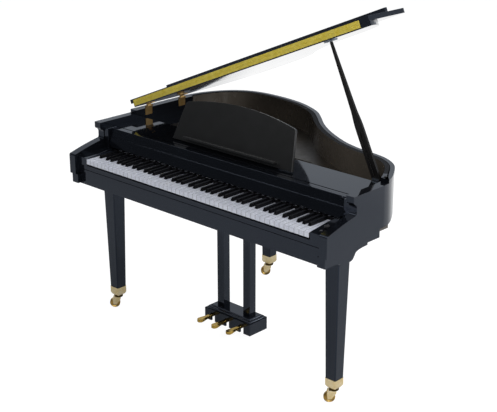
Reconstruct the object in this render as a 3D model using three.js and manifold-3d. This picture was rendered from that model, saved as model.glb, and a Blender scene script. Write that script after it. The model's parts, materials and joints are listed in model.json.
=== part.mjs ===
// Digital grand piano: bent rim case on three castered legs, folding key cover, music desk, propped lid.
// Millimetres, +Z up, +X to the player's right, +Y towards the tail.
// Places are worked out from the middle of the keyboard at the fronts of the white keys, on the floor.
import * as THREE from "three";
import { mergeVertices } from "three/addons/utils/BufferGeometryUtils.js";
import Module from "manifold-3d";

const wasm = await Module();
wasm.setup();

// Running and seating gaps
const SEAT_GAP = 0.3;
const RUN_GAP = 0.6;
const CUT_OVERRUN = 5;
const ROUND_STEPS = 6;
const SHAFT_SIDES = 24;

// Keyboard: the case takes its width and its levels from it
const WHITE_PITCH = 23.58;
const WHITE_COUNT = 52;
const WHITE_TOP_Z = 731;
const WHITE_HALF = (WHITE_COUNT * WHITE_PITCH) / 2;

// Case
const KEY_BLOCK_ROOM = 58.92;
const WALL = 36;
const INNER_HALF = WHITE_HALF + KEY_BLOCK_ROOM;
const CASE_HALF_WIDTH = INNER_HALF + WALL;
const SHELF_BACK_Y = 377;
const TAIL_DEPTH = 574;
const CASE_DEPTH = SHELF_BACK_Y + TAIL_DEPTH;
const RIM_RISE = 121;
const RIM_TOP_Z = WHITE_TOP_Z + RIM_RISE;
const RIM_DROP = 41;
const RIM_BOTTOM_Z = WHITE_TOP_Z - RIM_DROP;
const CAP_HEIGHT = 14;
const CAP_OVERHANG = 1.5;
const CAP_FRONT_Y = 335;
const RIM_FRONT_Y = 286;
const RIM_LAP = 20;
const OUTLINE_STEPS = 3;

// Arms at the ends of the keyboard
const ARM_FRONT_Y = -15;
const ARM_DROP = 74;
const ARM_BOTTOM_Z = WHITE_TOP_Z - ARM_DROP;
const ARM_RISE = 13;
const ARM_TOP_Z = WHITE_TOP_Z + ARM_RISE;
const ARM_ROUND = 9;
const ARM_SLOPE_RISE = 34;
const ARM_SLOPE_SHARE = 0.6;
const ARM_SLOPE_END_Y = 137;
const ARM_COVE = 10;
const RISER_Y = 147;
const NOSE_Y = 129;
const NOSE_HEIGHT = 27;
const NOSE_BOTTOM_Z = RIM_TOP_Z - NOSE_HEIGHT;

// Keyboard
const WHITE_HEIGHT = 20;
const WHITE_HEAD = 50;
const KEY_GAP = 1;
const BLACK_WIDTH = 12.6;
const BLACK_RISE = 12;
const BLACK_SLOPE = 6;
const BLACK_BACK_Y = 146;
const BLACK_DEPTH = 24;
const BLACK_NOTCH_GAP = 0.8;
const KEY_PIVOT_Y = 242;
const STRIP_DEPTH = 17;
const BLACK_STRIP_HEIGHT = 8;
const STRIP_GAP = 3;
const BLACK_TOP_WIDTH_SHARE = 0.86;
const OCTAVE_WHITES = 7;
const FIRST_C = 2;
// Each black key: the white key edge it straddles, and its shift from that edge in white key widths
const BLACK_SHARES = [
  [1, -0.112],
  [2, 0.117],
  [4, -0.147],
  [5, 0],
  [6, 0.15],
];

// Key frame, key bed and front rail
const BED_THICK = 33;
const BED_FRONT_Y = 28.3;
const BED_BACK_Y = 385;
const FRAME_THICK = 6;
const FRAME_FRONT_Y = 36;
const PIVOT_BLOCK_DEPTH = 18;
const PIVOT_BLOCK_RISE = 38;
const RAIL_FRONT_Y = 9;
const RAIL_THICK = 19;
const RAIL_DROP = 31;
const RAIL_HEIGHT = 87;
const RAIL_TOP_Z = WHITE_TOP_Z - RAIL_DROP;
const RAIL_BOTTOM_Z = RAIL_TOP_Z - RAIL_HEIGHT;
const RAIL_GROOVE_DROP = 20;
const RAIL_GROOVE_Z = RAIL_TOP_Z - RAIL_GROOVE_DROP;
const RAIL_GROOVE = 2.5;
const RAIL_LAP = 10;

// Key blocks with the cheeks that carry the key cover
const BLOCK_FRONT_Y = 3;
const BLOCK_FRONT_RISE = 2;
const BLOCK_BACK_RISE = 14;
const BLOCK_FRONT_Z = WHITE_TOP_Z + BLOCK_FRONT_RISE;
const BLOCK_BACK_Z = WHITE_TOP_Z + BLOCK_BACK_RISE;
const BLOCK_BACK_Y = 150;
const BLOCK_FLAT = 46;
const CHEEK_WIDTH = 25;
const CHEEK_BACK_Y = 200;

// Side skirts that run into the front legs
const SKIRT_INSET = 10;
const SKIRT_THICK = 36;
const SKIRT_FRONT_Y = -12;
const SKIRT_DROP = 39;
const SKIRT_BOTTOM_Z = ARM_BOTTOM_Z - SKIRT_DROP;
const SKIRT_TONGUE_DROP = 52;
const SKIRT_TONGUE_Z = ARM_BOTTOM_Z - SKIRT_TONGUE_DROP;
const SKIRT_COVE_Y = 52;
const SKIRT_TONGUE_Y = 75;
const SKIRT_OGEE_Y = 133;
const SKIRT_STEP_Y = 229;
const SKIRT_STEP_DROP = 16;
const SKIRT_STEP_Z = ARM_BOTTOM_Z - SKIRT_STEP_DROP;
const SKIRT_LIP_DROP = 7;
const SKIRT_LIP_Z = ARM_BOTTOM_Z - SKIRT_LIP_DROP;
const SKIRT_BACK_Y = 299;
const OGEE_MID_Y = 160;
const OGEE_MID_DROP = 27;
const OGEE_MID_Z = ARM_BOTTOM_Z - OGEE_MID_DROP;

// Top board behind the key cover, with its riser and the rail of the music desk
const SHELF_DROP = 25;
const SHELF_TOP_Z = RIM_TOP_Z - SHELF_DROP;
const SHELF_THICK = 16;
const SHELF_FRONT_Y = 202;
const RISER_THICK = 18;
const RISER_SIDE_GAP = 32;
const RISER_HALF_LENGTH = INNER_HALF - RISER_SIDE_GAP;
const DESK_RAIL_HALF_LENGTH = 250;
const DESK_RAIL_DEPTH = 16;
const DESK_RAIL_HEIGHT = 9;

// Inner deck and bottom board
const BOTTOM_BOARD_THICK = 15;
const BOTTOM_BOARD_FRONT_Y = 352;
const DECK_RISE = 17;
const DECK_Z = WHITE_TOP_Z + DECK_RISE;
const DECK_THICK = 12;
const SOUND_SLOT = 9;
const SOUND_SLOT_LENGTH = 150;
const SOUND_SLOT_PITCH = 24;
const SOUND_SLOT_COUNT = 7;
const SPEAKER_X = [-420, 90];
const SPEAKER_Y = 470;

// Key cover: a board hinged at its foot, and a lip folded down in front of it
const COVER_LEAN = 14;
const COVER_PIVOT_Y = 161.9;
const COVER_PIVOT_RISE = 18;
const COVER_PIVOT_Z = WHITE_TOP_Z + COVER_PIVOT_RISE;
const COVER_SIDE_GAP = 27;
const COVER_HALF_WIDTH = INNER_HALF - COVER_SIDE_GAP;
const COVER_THICK = 13;
const COVER_FACE = 1;
const COVER_FOOT = 2;
const COVER_SEAM = 80.6;
const LIP_THICK = 12;
const LIP_FOOT = 3.9;
const LIP_NOTCH = 14;
const LIP_GROOVE = 2;
const LIP_GROOVE_HEIGHT = 40;
const COVER_PIN_R = 3;
const COVER_PIN_LENGTH = 12;
const PULL_INSET = 20;
const PULL_X = COVER_HALF_WIDTH - PULL_INSET;
const PULL_HEIGHT = 70;
const PULL_R = 6;
const PULL_RISE = 8;

// Music desk
const DESK_LEAN = 20;
const DESK_PIVOT_Y = 243;
const DESK_BOTTOM_HALF = 328;
const DESK_TAPER = 29;
const DESK_TOP_HALF = DESK_BOTTOM_HALF - DESK_TAPER;
const DESK_SIDE = 152;
const DESK_CREST = 188;
const DESK_THICK = 12;
const DESK_CORNER = 10;
const DESK_CORNER_SHARE = 1 / 3;
const LEDGE_DEPTH = 26;
const LEDGE_THICK = 8;
const LEDGE_LIFT = 6;
const CREST_STEPS = 12;

// Strut behind the music desk, and the two ears that hold its foot
const STRUT_FOOT_Y = 350;
const STRUT_FOOT_RISE = 5;
const STRUT_LENGTH = 126;
const STRUT_LEAN = 33;
const STRUT_WIDTH = 36;
const STRUT_THICK = 5;
const STRUT_PIN_R = 2;
const STRUT_EAR = 6;
const STRUT_EAR_HALF_DEPTH = 7;
const STRUT_EAR_HEIGHT = 9;

// Lid, its folded front flap and their hinges
const LID_ANGLE = 22.7;
const LID_PIVOT_INSET = 4;
const LID_PIVOT_X = LID_PIVOT_INSET - INNER_HALF;
const LID_PIVOT_RISE = 22;
const LID_PIVOT_Z = RIM_TOP_Z + LID_PIVOT_RISE;
const LID_LIFT = 9.6;
const LID_THICK = 18;
const LID_FRONT_Y = 333;
const LID_SIDE_LAP = 9;
const LID_LEFT_X = LID_PIVOT_X - LID_SIDE_LAP;
const LID_OVERHANG = 7;
const FLAP_DEPTH = 223;
const FLAP_INSET = 15;
const FLAP_LEFT_X = FLAP_INSET - CASE_HALF_WIDTH;
const FLAP_RIGHT_X = CASE_HALF_WIDTH;
const FLAP_RAIL_LEFT_X = -INNER_HALF;
const FLAP_RAIL_END_GAP = 47;
const FLAP_RAIL_LENGTH = 2 * INNER_HALF - FLAP_RAIL_END_GAP;
const FLAP_RAIL_DEPTH = 16;
const FLAP_RAIL_HEIGHT = 24;
const FLAP_RAIL_INSET = 1;
const LEAF_THICK = 1.4;
const LEAF_HEIGHT = 13.6;
const LEAF_LEFT_X = -INNER_HALF;
const LEAF_END_GAP = 9;
const LEAF_LENGTH = 2 * INNER_HALF - LEAF_END_GAP;
const KNUCKLE_R = 1.6;

// Brass hinges between rim and lid
const BUTT_Y = [407, 608];
const BUTT_WIDTH = 40;
const BUTT_HEIGHT = 34;
const BUTT_THICK = 2.4;
const BUTT_KNUCKLE_R = 4.6;
const BUTT_PIN_R = 2;
const KNUCKLE_END_SHARE = 0.25;

// Prop stick
const PROP_BACK_GAP = 15;
const PROP_Y = SHELF_BACK_Y + PROP_BACK_GAP;
const PROP_SIDE_GAP = 64;
const PROP_FOOT_X = INNER_HALF - PROP_SIDE_GAP;
const PROP_FOOT_DROP = 26;
const PROP_FOOT_Z = RIM_TOP_Z - PROP_FOOT_DROP;
const PROP_RUN = 235;
const PROP_TOP_X = PROP_FOOT_X - PROP_RUN;
const PROP_THICK = 10;
const PROP_FOOT_WIDTH = 36;
const PROP_WAIST_WIDTH = 22;
const PROP_TOP_WIDTH = 8;
const PROP_SHOULDER_SHARE = 0.36;
const PROP_WAIST_SHARE = 0.56;
const PROP_GROOVE_WIDTH = 8;
const PROP_GROOVE_DEPTH = 3;
const PROP_PIN_R = 5;
const PROP_GROOVE_SHARE = 0.35;
const BRACKET_EAR = 6;
const BRACKET_WIDTH = 30;
const PROP_PLATE_LENGTH = 44;
const PROP_PLATE_WIDTH = 30;
const PROP_PLATE_THICK = 3;

// Legs, ferrules and casters
const LEG_INSET = 85;
const LEG_X = CASE_HALF_WIDTH - LEG_INSET;
const LEG_Y = 152;
const REAR_LEG_SIDE_GAP = 294;
const REAR_LEG_X = REAR_LEG_SIDE_GAP - INNER_HALF;
const REAR_LEG_INSET = 67;
const REAR_LEG_Y = CASE_DEPTH - REAR_LEG_INSET;
const LEG_TOP_WIDTH = 68;
const LEG_FOOT_WIDTH = 50;
const LEG_FOOT_Z = 104;
const LEG_CHAMFER = 3;
const FERRULE_HEIGHT = 38;
const FERRULE_BORE_SHARE = 0.25;
const FERRULE_RIM = 1;
const FERRULE_TAPER = 5;
const FERRULE_TAPER_HEIGHT = 9;
const STEM_R = 6;
const WHEEL_R = 23;
const WHEEL_WIDTH = 18;
const WHEEL_ROUND = 4;
const HUB_R = 9;
const HUB_RECESS = 2.5;
const AXLE_R = 3.5;
const CASTER_TRAIL = 17;
const CASTER_HEADING = 223;
const FORK_THICK = 3;
const FORK_DROP = 7;
const FORK_WIDTH = 20;
const FORK_SLOPE = 8;

// Pedal lyre
const LYRE_X = -45;
const LYRE_POST_GAP = 112;
const LYRE_POST_WIDTH = 38;
const LYRE_POST_DEPTH = 36;
const LYRE_POST_Y = 295;
const LYRE_HALF_WIDTH = 132;
const LYRE_FRONT_Y = 255;
const LYRE_DEPTH = 110;
const LYRE_PLATE_HALF = 105;
const LYRE_PLATE_FRONT_Y = 285;
const LYRE_PLATE_DEPTH = 60;
const LYRE_PLATE_THICK = 17;
const LYRE_BOTTOM_Z = 55;
const LYRE_BOX_HEIGHT = 51;
const LYRE_TOP_Z = LYRE_BOTTOM_Z + LYRE_BOX_HEIGHT;
const LYRE_WALL = 9;
const LYRE_CORNER = 10;
const PEDAL_PITCH = 84;
const PEDAL_REACH = 88;
const PEDAL_PIVOT_Y = 334;
const PEDAL_RISE = 31;
const PEDAL_Z = LYRE_BOTTOM_Z + PEDAL_RISE;
const PEDAL_THICK = 8;
const PEDAL_TIP_WIDTH = 26;
const PEDAL_NECK_WIDTH = 15;
const PEDAL_TAIL = 10;
const PEDAL_PIN_R = 3;
const PEDAL_SLOT_SIDE = 3;
const PEDAL_SLOT_ABOVE = 3;
const PEDAL_NECK_SHARE = 0.42;

// Controls on the key blocks, and the power inlet
const BUTTON_R = 6;
const BUTTON_RISE = 3;
const BUTTON_STEM = 8;
const BUTTON_Y = 30;
const KNOB_R = 11;
const KNOB_RISE = 6;
const KNOB_Y = 62;
const KNOB_RIBS = 12;
const KNOB_RIB_SHARE = 0.93;
const CONTROL_INSET = 29;
const INLET_WIDTH = 48;
const INLET_HEIGHT = 28;
const INLET_DEPTH = 14;
const INLET_WALL = 4;
const INLET_SIDE_GAP = 112;
const INLET_X = INLET_SIDE_GAP - INNER_HALF;
const INLET_Y = 700;

// Speakers on the bottom board and the main board behind the keys
const SPEAKER_R = 82;
const SPEAKER_FLANGE = 8;
const SPEAKER_FLANGE_THICK = 4;
const SPEAKER_MAGNET_R = 40;
const SPEAKER_CAP_R = 18;
const SPEAKER_CAP_Z = 18;
const SPEAKER_BASKET_Z = 24;
const SPEAKER_DEPTH = 38;
const BOARD_LEFT_X = -320;
const BOARD_LENGTH = 380;
const BOARD_FRONT_Y = 272;
const BOARD_DEPTH = 76;
const BOARD_THICK = 3;
const BOARD_PART_HEIGHT = 34;
// Parts on the main board: place, length and depth as shares of the board's, height as a share of the tallest
const BOARD_PART_SHARES = [
  [0.05, 0.15, 0.2, 0.6, 1],
  [0.32, 0.2, 0.12, 0.4, 0.25],
  [0.52, 0.3, 0.16, 0.5, 0.65],
  [0.76, 0.1, 0.2, 0.22, 0.4],
  [0.76, 0.6, 0.2, 0.22, 0.4],
];

// Rim outline from the right side round the bent side and the tail to the left side,
// as shares of the half width and of the tail's depth behind the top board
const OUTLINE_SHARES = [
  [1, -0.1515],
  [0.994, -0.0736],
  [0.975, -0.009],
  [0.945, 0.0556],
  [0.908, 0.1269],
  [0.869, 0.1865],
  [0.819, 0.2362],
  [0.763, 0.2718],
  [0.698, 0.2959],
  [0.607, 0.3133],
  [0.511, 0.3373],
  [0.395, 0.387],
  [0.229, 0.498],
  [0.093, 0.6189],
  [-0.014, 0.7415],
  [-0.1285, 0.8575],
  [-0.298, 0.9529],
  [-0.45, 0.9909],
  [-0.585, 1],
  [-0.692, 0.9909],
  [-0.791, 0.9529],
  [-0.874, 0.8757],
  [-0.935, 0.7747],
  [-0.98, 0.6504],
  [-1, 0.5278],
];

const lacquer = new THREE.MeshStandardMaterial({ color: 0x17181c, roughness: 0.08, metalness: 0 });
const interior = new THREE.MeshStandardMaterial({ color: 0x2b2724, roughness: 0.5, metalness: 0 });
const ivory = new THREE.MeshStandardMaterial({ color: 0xe6e7ea, roughness: 0.3, metalness: 0 });
const ebony = new THREE.MeshStandardMaterial({ color: 0x101012, roughness: 0.35, metalness: 0 });
const brass = new THREE.MeshStandardMaterial({ color: 0xc8a850, roughness: 0.22, metalness: 1 });
const steel = new THREE.MeshStandardMaterial({ color: 0x9aa3ad, roughness: 0.3, metalness: 1 });
const tread = new THREE.MeshStandardMaterial({ color: 0x202022, roughness: 0.6, metalness: 0 });
const board = new THREE.MeshStandardMaterial({ color: 0x1f5a3a, roughness: 0.5, metalness: 0 });
const plastic = new THREE.MeshStandardMaterial({ color: 0x1b1b1d, roughness: 0.5, metalness: 0 });

const piano = new THREE.Group();
piano.position.x = CAP_OVERHANG / 2;
piano.position.y = -(CASE_DEPTH + LID_OVERHANG + ARM_FRONT_Y) / 2;

const rad = THREE.MathUtils.degToRad;
const middle = (a, b) => (a + b) / 2;

// Adds one named sub-part to a group
function add(name, geometry, material, parent = piano) {
  const mesh = new THREE.Mesh(geometry, material);
  mesh.name = name;
  parent.add(mesh);
  return mesh;
}

// A closed geometry as a solid for adding and cutting
function solid(geometry) {
  const plain = geometry.index ? geometry.toNonIndexed() : geometry.clone();
  plain.deleteAttribute("normal");
  plain.deleteAttribute("uv");
  const merged = mergeVertices(plain, 1e-4);
  return new wasm.Manifold(
    new wasm.Mesh({
      numProp: 3,
      vertProperties: merged.getAttribute("position").array,
      triVerts: new Uint32Array(merged.index.array),
    }),
  );
}

function geometryOf(manifold) {
  const mesh = manifold.getMesh();
  const geometry = new THREE.BufferGeometry();
  geometry.setAttribute("position", new THREE.BufferAttribute(mesh.vertProperties, 3));
  geometry.setIndex(new THREE.BufferAttribute(mesh.triVerts, 1));
  geometry.computeVertexNormals();
  return geometry;
}

const union = (...geometries) => geometryOf(geometries.map(solid).reduce((a, b) => a.add(b)));
const common = (a, b) => geometryOf(solid(a).intersect(solid(b)));
const cut = (geometry, ...tools) =>
  geometryOf(tools.map(solid).reduce((a, b) => a.subtract(b), solid(geometry)));

// A block between two corners
function block(x0, x1, y0, y1, z0, z1) {
  const box = new THREE.BoxGeometry(x1 - x0, y1 - y0, z1 - z0);
  return box.translate(middle(x0, x1), middle(y0, y1), middle(z0, z1));
}

function shapeOf(points) {
  return new THREE.Shape(points.map(([x, y]) => new THREE.Vector2(x, y)));
}

// A plan shape raised from z0 to z1
function raised(shape, z0, z1) {
  const options = { depth: z1 - z0, bevelEnabled: false, curveSegments: ROUND_STEPS };
  return new THREE.ExtrudeGeometry(shape, options).translate(0, 0, z0);
}

// A side profile drawn in Y and Z, spread from x0 to x1
function spread(shape, x0, x1) {
  const options = { depth: x1 - x0, bevelEnabled: false, curveSegments: ROUND_STEPS };
  const geometry = new THREE.ExtrudeGeometry(shape, options);
  const axes = new THREE.Matrix4().set(0, 0, 1, x0, 1, 0, 0, 0, 0, 1, 0, 0, 0, 0, 0, 1);
  return geometry.applyMatrix4(axes);
}

// A front profile drawn in X and Z, pushed back from y0 to y1
function pushed(shape, y0, y1) {
  const options = { depth: y1 - y0, bevelEnabled: false, curveSegments: ROUND_STEPS };
  return new THREE.ExtrudeGeometry(shape, options).rotateX(Math.PI / 2).translate(0, y1, 0);
}

function cylinderAlong(axis, radius, length) {
  const geometry = new THREE.CylinderGeometry(radius, radius, length, SHAFT_SIDES);
  if (axis === "x") geometry.rotateZ(Math.PI / 2);
  if (axis === "z") geometry.rotateX(Math.PI / 2);
  return geometry;
}

// Rim outline: the spline through the shares, with the straight sides run forward to frontY.
// A positive inset moves it into the case.
const bend = new THREE.SplineCurve(
  OUTLINE_SHARES.map(([x, y]) => new THREE.Vector2(x * CASE_HALF_WIDTH, SHELF_BACK_Y + y * TAIL_DEPTH)),
);

function outline(inset, frontY) {
  const count = (OUTLINE_SHARES.length - 1) * OUTLINE_STEPS;
  const points = bend.getPoints(count).map((p, i) => {
    const t = bend.getTangent(i / count);
    if (i === 0 || i === count) t.set(0, i === 0 ? 1 : -1);
    return [p.x - t.y * inset, p.y + t.x * inset];
  });
  const behind = points.filter(([, y]) => y > frontY);
  const [right] = behind[0];
  const [left] = behind[behind.length - 1];
  return [[right, frontY], ...behind, [left, frontY]];
}

function ring(outerInset, innerInset, frontY) {
  return shapeOf([...outline(outerInset, frontY), ...outline(innerInset, frontY).reverse()]);
}

const CAP_TOP_Z = RIM_TOP_Z + CAP_HEIGHT;
const BED_TOP_Z = ARM_BOTTOM_Z + BED_THICK;

// The rim: bent wall, cap and the two arms in one piece, as it is glued up
function armProfile() {
  const s = new THREE.Shape();
  s.moveTo(ARM_FRONT_Y, ARM_BOTTOM_Z);
  s.lineTo(RIM_FRONT_Y, ARM_BOTTOM_Z);
  s.lineTo(RIM_FRONT_Y, RIM_BOTTOM_Z);
  s.lineTo(RIM_FRONT_Y + RIM_LAP, RIM_BOTTOM_Z);
  s.lineTo(RIM_FRONT_Y + RIM_LAP, RIM_TOP_Z);
  s.lineTo(NOSE_Y, RIM_TOP_Z);
  s.lineTo(NOSE_Y, NOSE_BOTTOM_Z + ARM_COVE / 2);
  s.quadraticCurveTo(NOSE_Y, NOSE_BOTTOM_Z, NOSE_Y + ARM_COVE, NOSE_BOTTOM_Z - ARM_COVE / 2);
  s.quadraticCurveTo(RISER_Y, NOSE_BOTTOM_Z - ARM_COVE, RISER_Y, NOSE_BOTTOM_Z - 2 * ARM_COVE);
  s.lineTo(RISER_Y, ARM_TOP_Z + ARM_SLOPE_RISE + ARM_COVE);
  s.quadraticCurveTo(RISER_Y, ARM_TOP_Z + ARM_SLOPE_RISE, ARM_SLOPE_END_Y, ARM_TOP_Z + ARM_SLOPE_RISE);
  s.quadraticCurveTo(
    middle(ARM_FRONT_Y, ARM_SLOPE_END_Y),
    ARM_TOP_Z + ARM_SLOPE_RISE * ARM_SLOPE_SHARE,
    ARM_FRONT_Y + ARM_ROUND,
    ARM_TOP_Z,
  );
  s.quadraticCurveTo(ARM_FRONT_Y, ARM_TOP_Z, ARM_FRONT_Y, ARM_TOP_Z - ARM_ROUND);
  return s;
}

add(
  "rim",
  union(
    raised(ring(0, WALL, RIM_FRONT_Y), RIM_BOTTOM_Z, RIM_TOP_Z),
    raised(ring(-CAP_OVERHANG, WALL, CAP_FRONT_Y), RIM_TOP_Z - CAP_OVERHANG, CAP_TOP_Z),
    spread(armProfile(), INNER_HALF, CASE_HALF_WIDTH),
    spread(armProfile(), -CASE_HALF_WIDTH, -INNER_HALF),
  ),
  lacquer,
);

// Side skirts: a cove in front of each leg and an ogee behind it
const SKIRT_OUT_X = CASE_HALF_WIDTH - SKIRT_INSET;
const SKIRT_IN_X = SKIRT_OUT_X - SKIRT_THICK;
const SKIRT_TOP_Z = ARM_BOTTOM_Z - SEAT_GAP;

function skirtProfile() {
  const s = new THREE.Shape();
  s.moveTo(SKIRT_FRONT_Y, SKIRT_TOP_Z);
  s.lineTo(SKIRT_FRONT_Y, SKIRT_BOTTOM_Z);
  s.lineTo(SKIRT_COVE_Y, SKIRT_BOTTOM_Z);
  s.quadraticCurveTo(SKIRT_TONGUE_Y, SKIRT_BOTTOM_Z, SKIRT_TONGUE_Y, SKIRT_TONGUE_Z);
  s.lineTo(SKIRT_OGEE_Y, SKIRT_TONGUE_Z);
  s.quadraticCurveTo(middle(SKIRT_OGEE_Y, OGEE_MID_Y), SKIRT_TONGUE_Z, OGEE_MID_Y, OGEE_MID_Z);
  s.quadraticCurveTo(OGEE_MID_Y + ARM_COVE, SKIRT_STEP_Z, SKIRT_STEP_Y, SKIRT_STEP_Z);
  s.lineTo(SKIRT_STEP_Y, SKIRT_LIP_Z);
  s.lineTo(SKIRT_BACK_Y, SKIRT_LIP_Z);
  s.lineTo(SKIRT_BACK_Y, SKIRT_TOP_Z);
  return s;
}

// Front rail between them: the apron and key slip, with the groove that parts them
function railShape() {
  const low = SKIRT_IN_X + RAIL_LAP;
  const high = INNER_HALF - SEAT_GAP;
  return shapeOf([
    [-low, RAIL_BOTTOM_Z],
    [low, RAIL_BOTTOM_Z],
    [low, ARM_BOTTOM_Z],
    [high, ARM_BOTTOM_Z],
    [high, RAIL_TOP_Z],
    [-high, RAIL_TOP_Z],
    [-high, ARM_BOTTOM_Z],
    [-low, ARM_BOTTOM_Z],
  ]);
}

add(
  "case_skirt",
  cut(
    union(
      pushed(railShape(), RAIL_FRONT_Y, RAIL_FRONT_Y + RAIL_THICK),
      spread(skirtProfile(), SKIRT_IN_X, SKIRT_OUT_X),
      spread(skirtProfile(), -SKIRT_OUT_X, -SKIRT_IN_X),
    ),
    block(
      -CASE_HALF_WIDTH,
      CASE_HALF_WIDTH,
      RAIL_FRONT_Y - CUT_OVERRUN,
      RAIL_FRONT_Y + RAIL_GROOVE,
      RAIL_GROOVE_Z - RAIL_GROOVE / 2,
      RAIL_GROOVE_Z + RAIL_GROOVE / 2,
    ),
  ),
  lacquer,
);

// Key bed between the arms
const BED_HALF = INNER_HALF - SEAT_GAP;
add(
  "key_bed",
  block(-BED_HALF, BED_HALF, BED_FRONT_Y, BED_BACK_Y, ARM_BOTTOM_Z, BED_TOP_Z - SEAT_GAP),
  interior,
);

// Bottom board and inner deck, both cut to the inside of the rim, each with speaker slots
function boardShape(frontY) {
  return shapeOf(outline(WALL + SEAT_GAP, frontY));
}

function slotTools(z) {
  const tools = [];
  for (const x of SPEAKER_X)
    for (let i = 0; i < SOUND_SLOT_COUNT; i++) {
      const y = SPEAKER_Y + (i - (SOUND_SLOT_COUNT - 1) / 2) * SOUND_SLOT_PITCH;
      const half = SOUND_SLOT_LENGTH / 2;
      tools.push(
        block(
          x - half,
          x + half,
          y - SOUND_SLOT / 2,
          y + SOUND_SLOT / 2,
          z - CUT_OVERRUN,
          z + BOTTOM_BOARD_THICK + CUT_OVERRUN,
        ),
      );
    }
  return tools;
}

const BOTTOM_BOARD_TOP_Z = BED_TOP_Z + BOTTOM_BOARD_THICK;
add(
  "bottom_board",
  cut(raised(boardShape(BOTTOM_BOARD_FRONT_Y), BED_TOP_Z, BOTTOM_BOARD_TOP_Z), ...slotTools(BED_TOP_Z)),
  interior,
);
add(
  "inner_deck",
  cut(raised(boardShape(SHELF_BACK_Y + SEAT_GAP), DECK_Z, DECK_Z + DECK_THICK), ...slotTools(DECK_Z)),
  interior,
);

// Key blocks with their cheeks
function blockProfile() {
  return shapeOf([
    [BLOCK_FRONT_Y, RAIL_TOP_Z + SEAT_GAP],
    [RAIL_FRONT_Y + RAIL_THICK + SEAT_GAP, RAIL_TOP_Z + SEAT_GAP],
    [RAIL_FRONT_Y + RAIL_THICK + SEAT_GAP, BED_TOP_Z],
    [CHEEK_BACK_Y, BED_TOP_Z],
    [CHEEK_BACK_Y, BLOCK_BACK_Z],
    [BLOCK_BACK_Y - BLOCK_FLAT, BLOCK_BACK_Z],
    [BLOCK_FRONT_Y, BLOCK_FRONT_Z],
  ]);
}

const BLOCK_IN_X = WHITE_HALF + KEY_GAP;
const BLOCK_OUT_X = INNER_HALF - SEAT_GAP;
const CONTROL_X = BLOCK_IN_X + CONTROL_INSET;
const blockTopAt = (y) =>
  BLOCK_FRONT_Z +
  ((y - BLOCK_FRONT_Y) / (BLOCK_BACK_Y - BLOCK_FLAT - BLOCK_FRONT_Y)) * (BLOCK_BACK_Z - BLOCK_FRONT_Z);

function keyBlock() {
  const body = spread(blockProfile(), BLOCK_IN_X, BLOCK_OUT_X);
  const cheek = block(
    BLOCK_OUT_X - CHEEK_WIDTH,
    BLOCK_OUT_X,
    BLOCK_BACK_Y,
    CHEEK_BACK_Y,
    BLOCK_BACK_Z - CUT_OVERRUN,
    SHELF_TOP_Z,
  );
  const pinHole = cylinderAlong("x", COVER_PIN_R + SEAT_GAP, 2 * COVER_PIN_LENGTH);
  pinHole.translate(BLOCK_OUT_X - CHEEK_WIDTH, COVER_PIVOT_Y, COVER_PIVOT_Z);
  const pinRelief = block(
    BLOCK_IN_X - CUT_OVERRUN,
    BLOCK_OUT_X - CHEEK_WIDTH,
    COVER_PIVOT_Y - COVER_THICK - CUT_OVERRUN,
    CHEEK_BACK_Y + CUT_OVERRUN,
    COVER_PIVOT_Z - COVER_THICK - CUT_OVERRUN,
    BLOCK_BACK_Z + CUT_OVERRUN,
  );
  return [union(body, cheek), pinHole, pinRelief];
}

function controlHole(y, radius, depth) {
  return cylinderAlong("z", radius, 2 * depth).translate(CONTROL_X, y, blockTopAt(y));
}

const [blockBody, blockPinHole, blockPinRelief] = keyBlock();
add(
  "right_key_block",
  cut(
    blockBody,
    blockPinHole,
    blockPinRelief,
    controlHole(BUTTON_Y, BUTTON_R + RUN_GAP, BUTTON_STEM + BUTTON_RISE),
    controlHole(KNOB_Y, BUTTON_R + RUN_GAP, BUTTON_STEM + RUN_GAP),
  ),
  lacquer,
);
const leftBlock = cut(blockBody, blockPinHole, blockPinRelief);
leftBlock.scale(-1, 1, 1);
leftBlock.setIndex([...leftBlock.index.array].reverse());
add("left_key_block", leftBlock, lacquer);

// Power button and volume knob on the right block
const buttonTop = blockTopAt(BUTTON_Y) + BUTTON_RISE;
add(
  "power_button",
  cylinderAlong("z", BUTTON_R, BUTTON_RISE + BUTTON_STEM).translate(
    CONTROL_X,
    BUTTON_Y,
    buttonTop - (BUTTON_RISE + BUTTON_STEM) / 2,
  ),
  plastic,
);

function knobShape() {
  const points = [];
  for (let i = 0; i < 2 * KNOB_RIBS; i++) {
    const r = i % 2 ? KNOB_R * KNOB_RIB_SHARE : KNOB_R;
    const a = (i / KNOB_RIBS) * Math.PI;
    points.push([CONTROL_X + r * Math.cos(a), KNOB_Y + r * Math.sin(a)]);
  }
  return shapeOf(points);
}

const knobSeat = blockTopAt(KNOB_Y + KNOB_R) + SEAT_GAP;
add(
  "volume_knob",
  union(
    raised(knobShape(), knobSeat, knobSeat + KNOB_RISE),
    cylinderAlong("z", BUTTON_R, 2 * BUTTON_STEM).translate(CONTROL_X, KNOB_Y, knobSeat),
  ),
  plastic,
);

// Key frame that carries the key combs at its rear block
add(
  "key_frame",
  union(
    block(
      -WHITE_HALF,
      WHITE_HALF,
      FRAME_FRONT_Y,
      KEY_PIVOT_Y + RUN_GAP + PIVOT_BLOCK_DEPTH,
      BED_TOP_Z,
      BED_TOP_Z + FRAME_THICK,
    ),
    block(
      -WHITE_HALF,
      WHITE_HALF,
      KEY_PIVOT_Y + RUN_GAP,
      KEY_PIVOT_Y + RUN_GAP + PIVOT_BLOCK_DEPTH,
      BED_TOP_Z,
      BED_TOP_Z + PIVOT_BLOCK_RISE,
    ),
  ),
  plastic,
);

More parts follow.
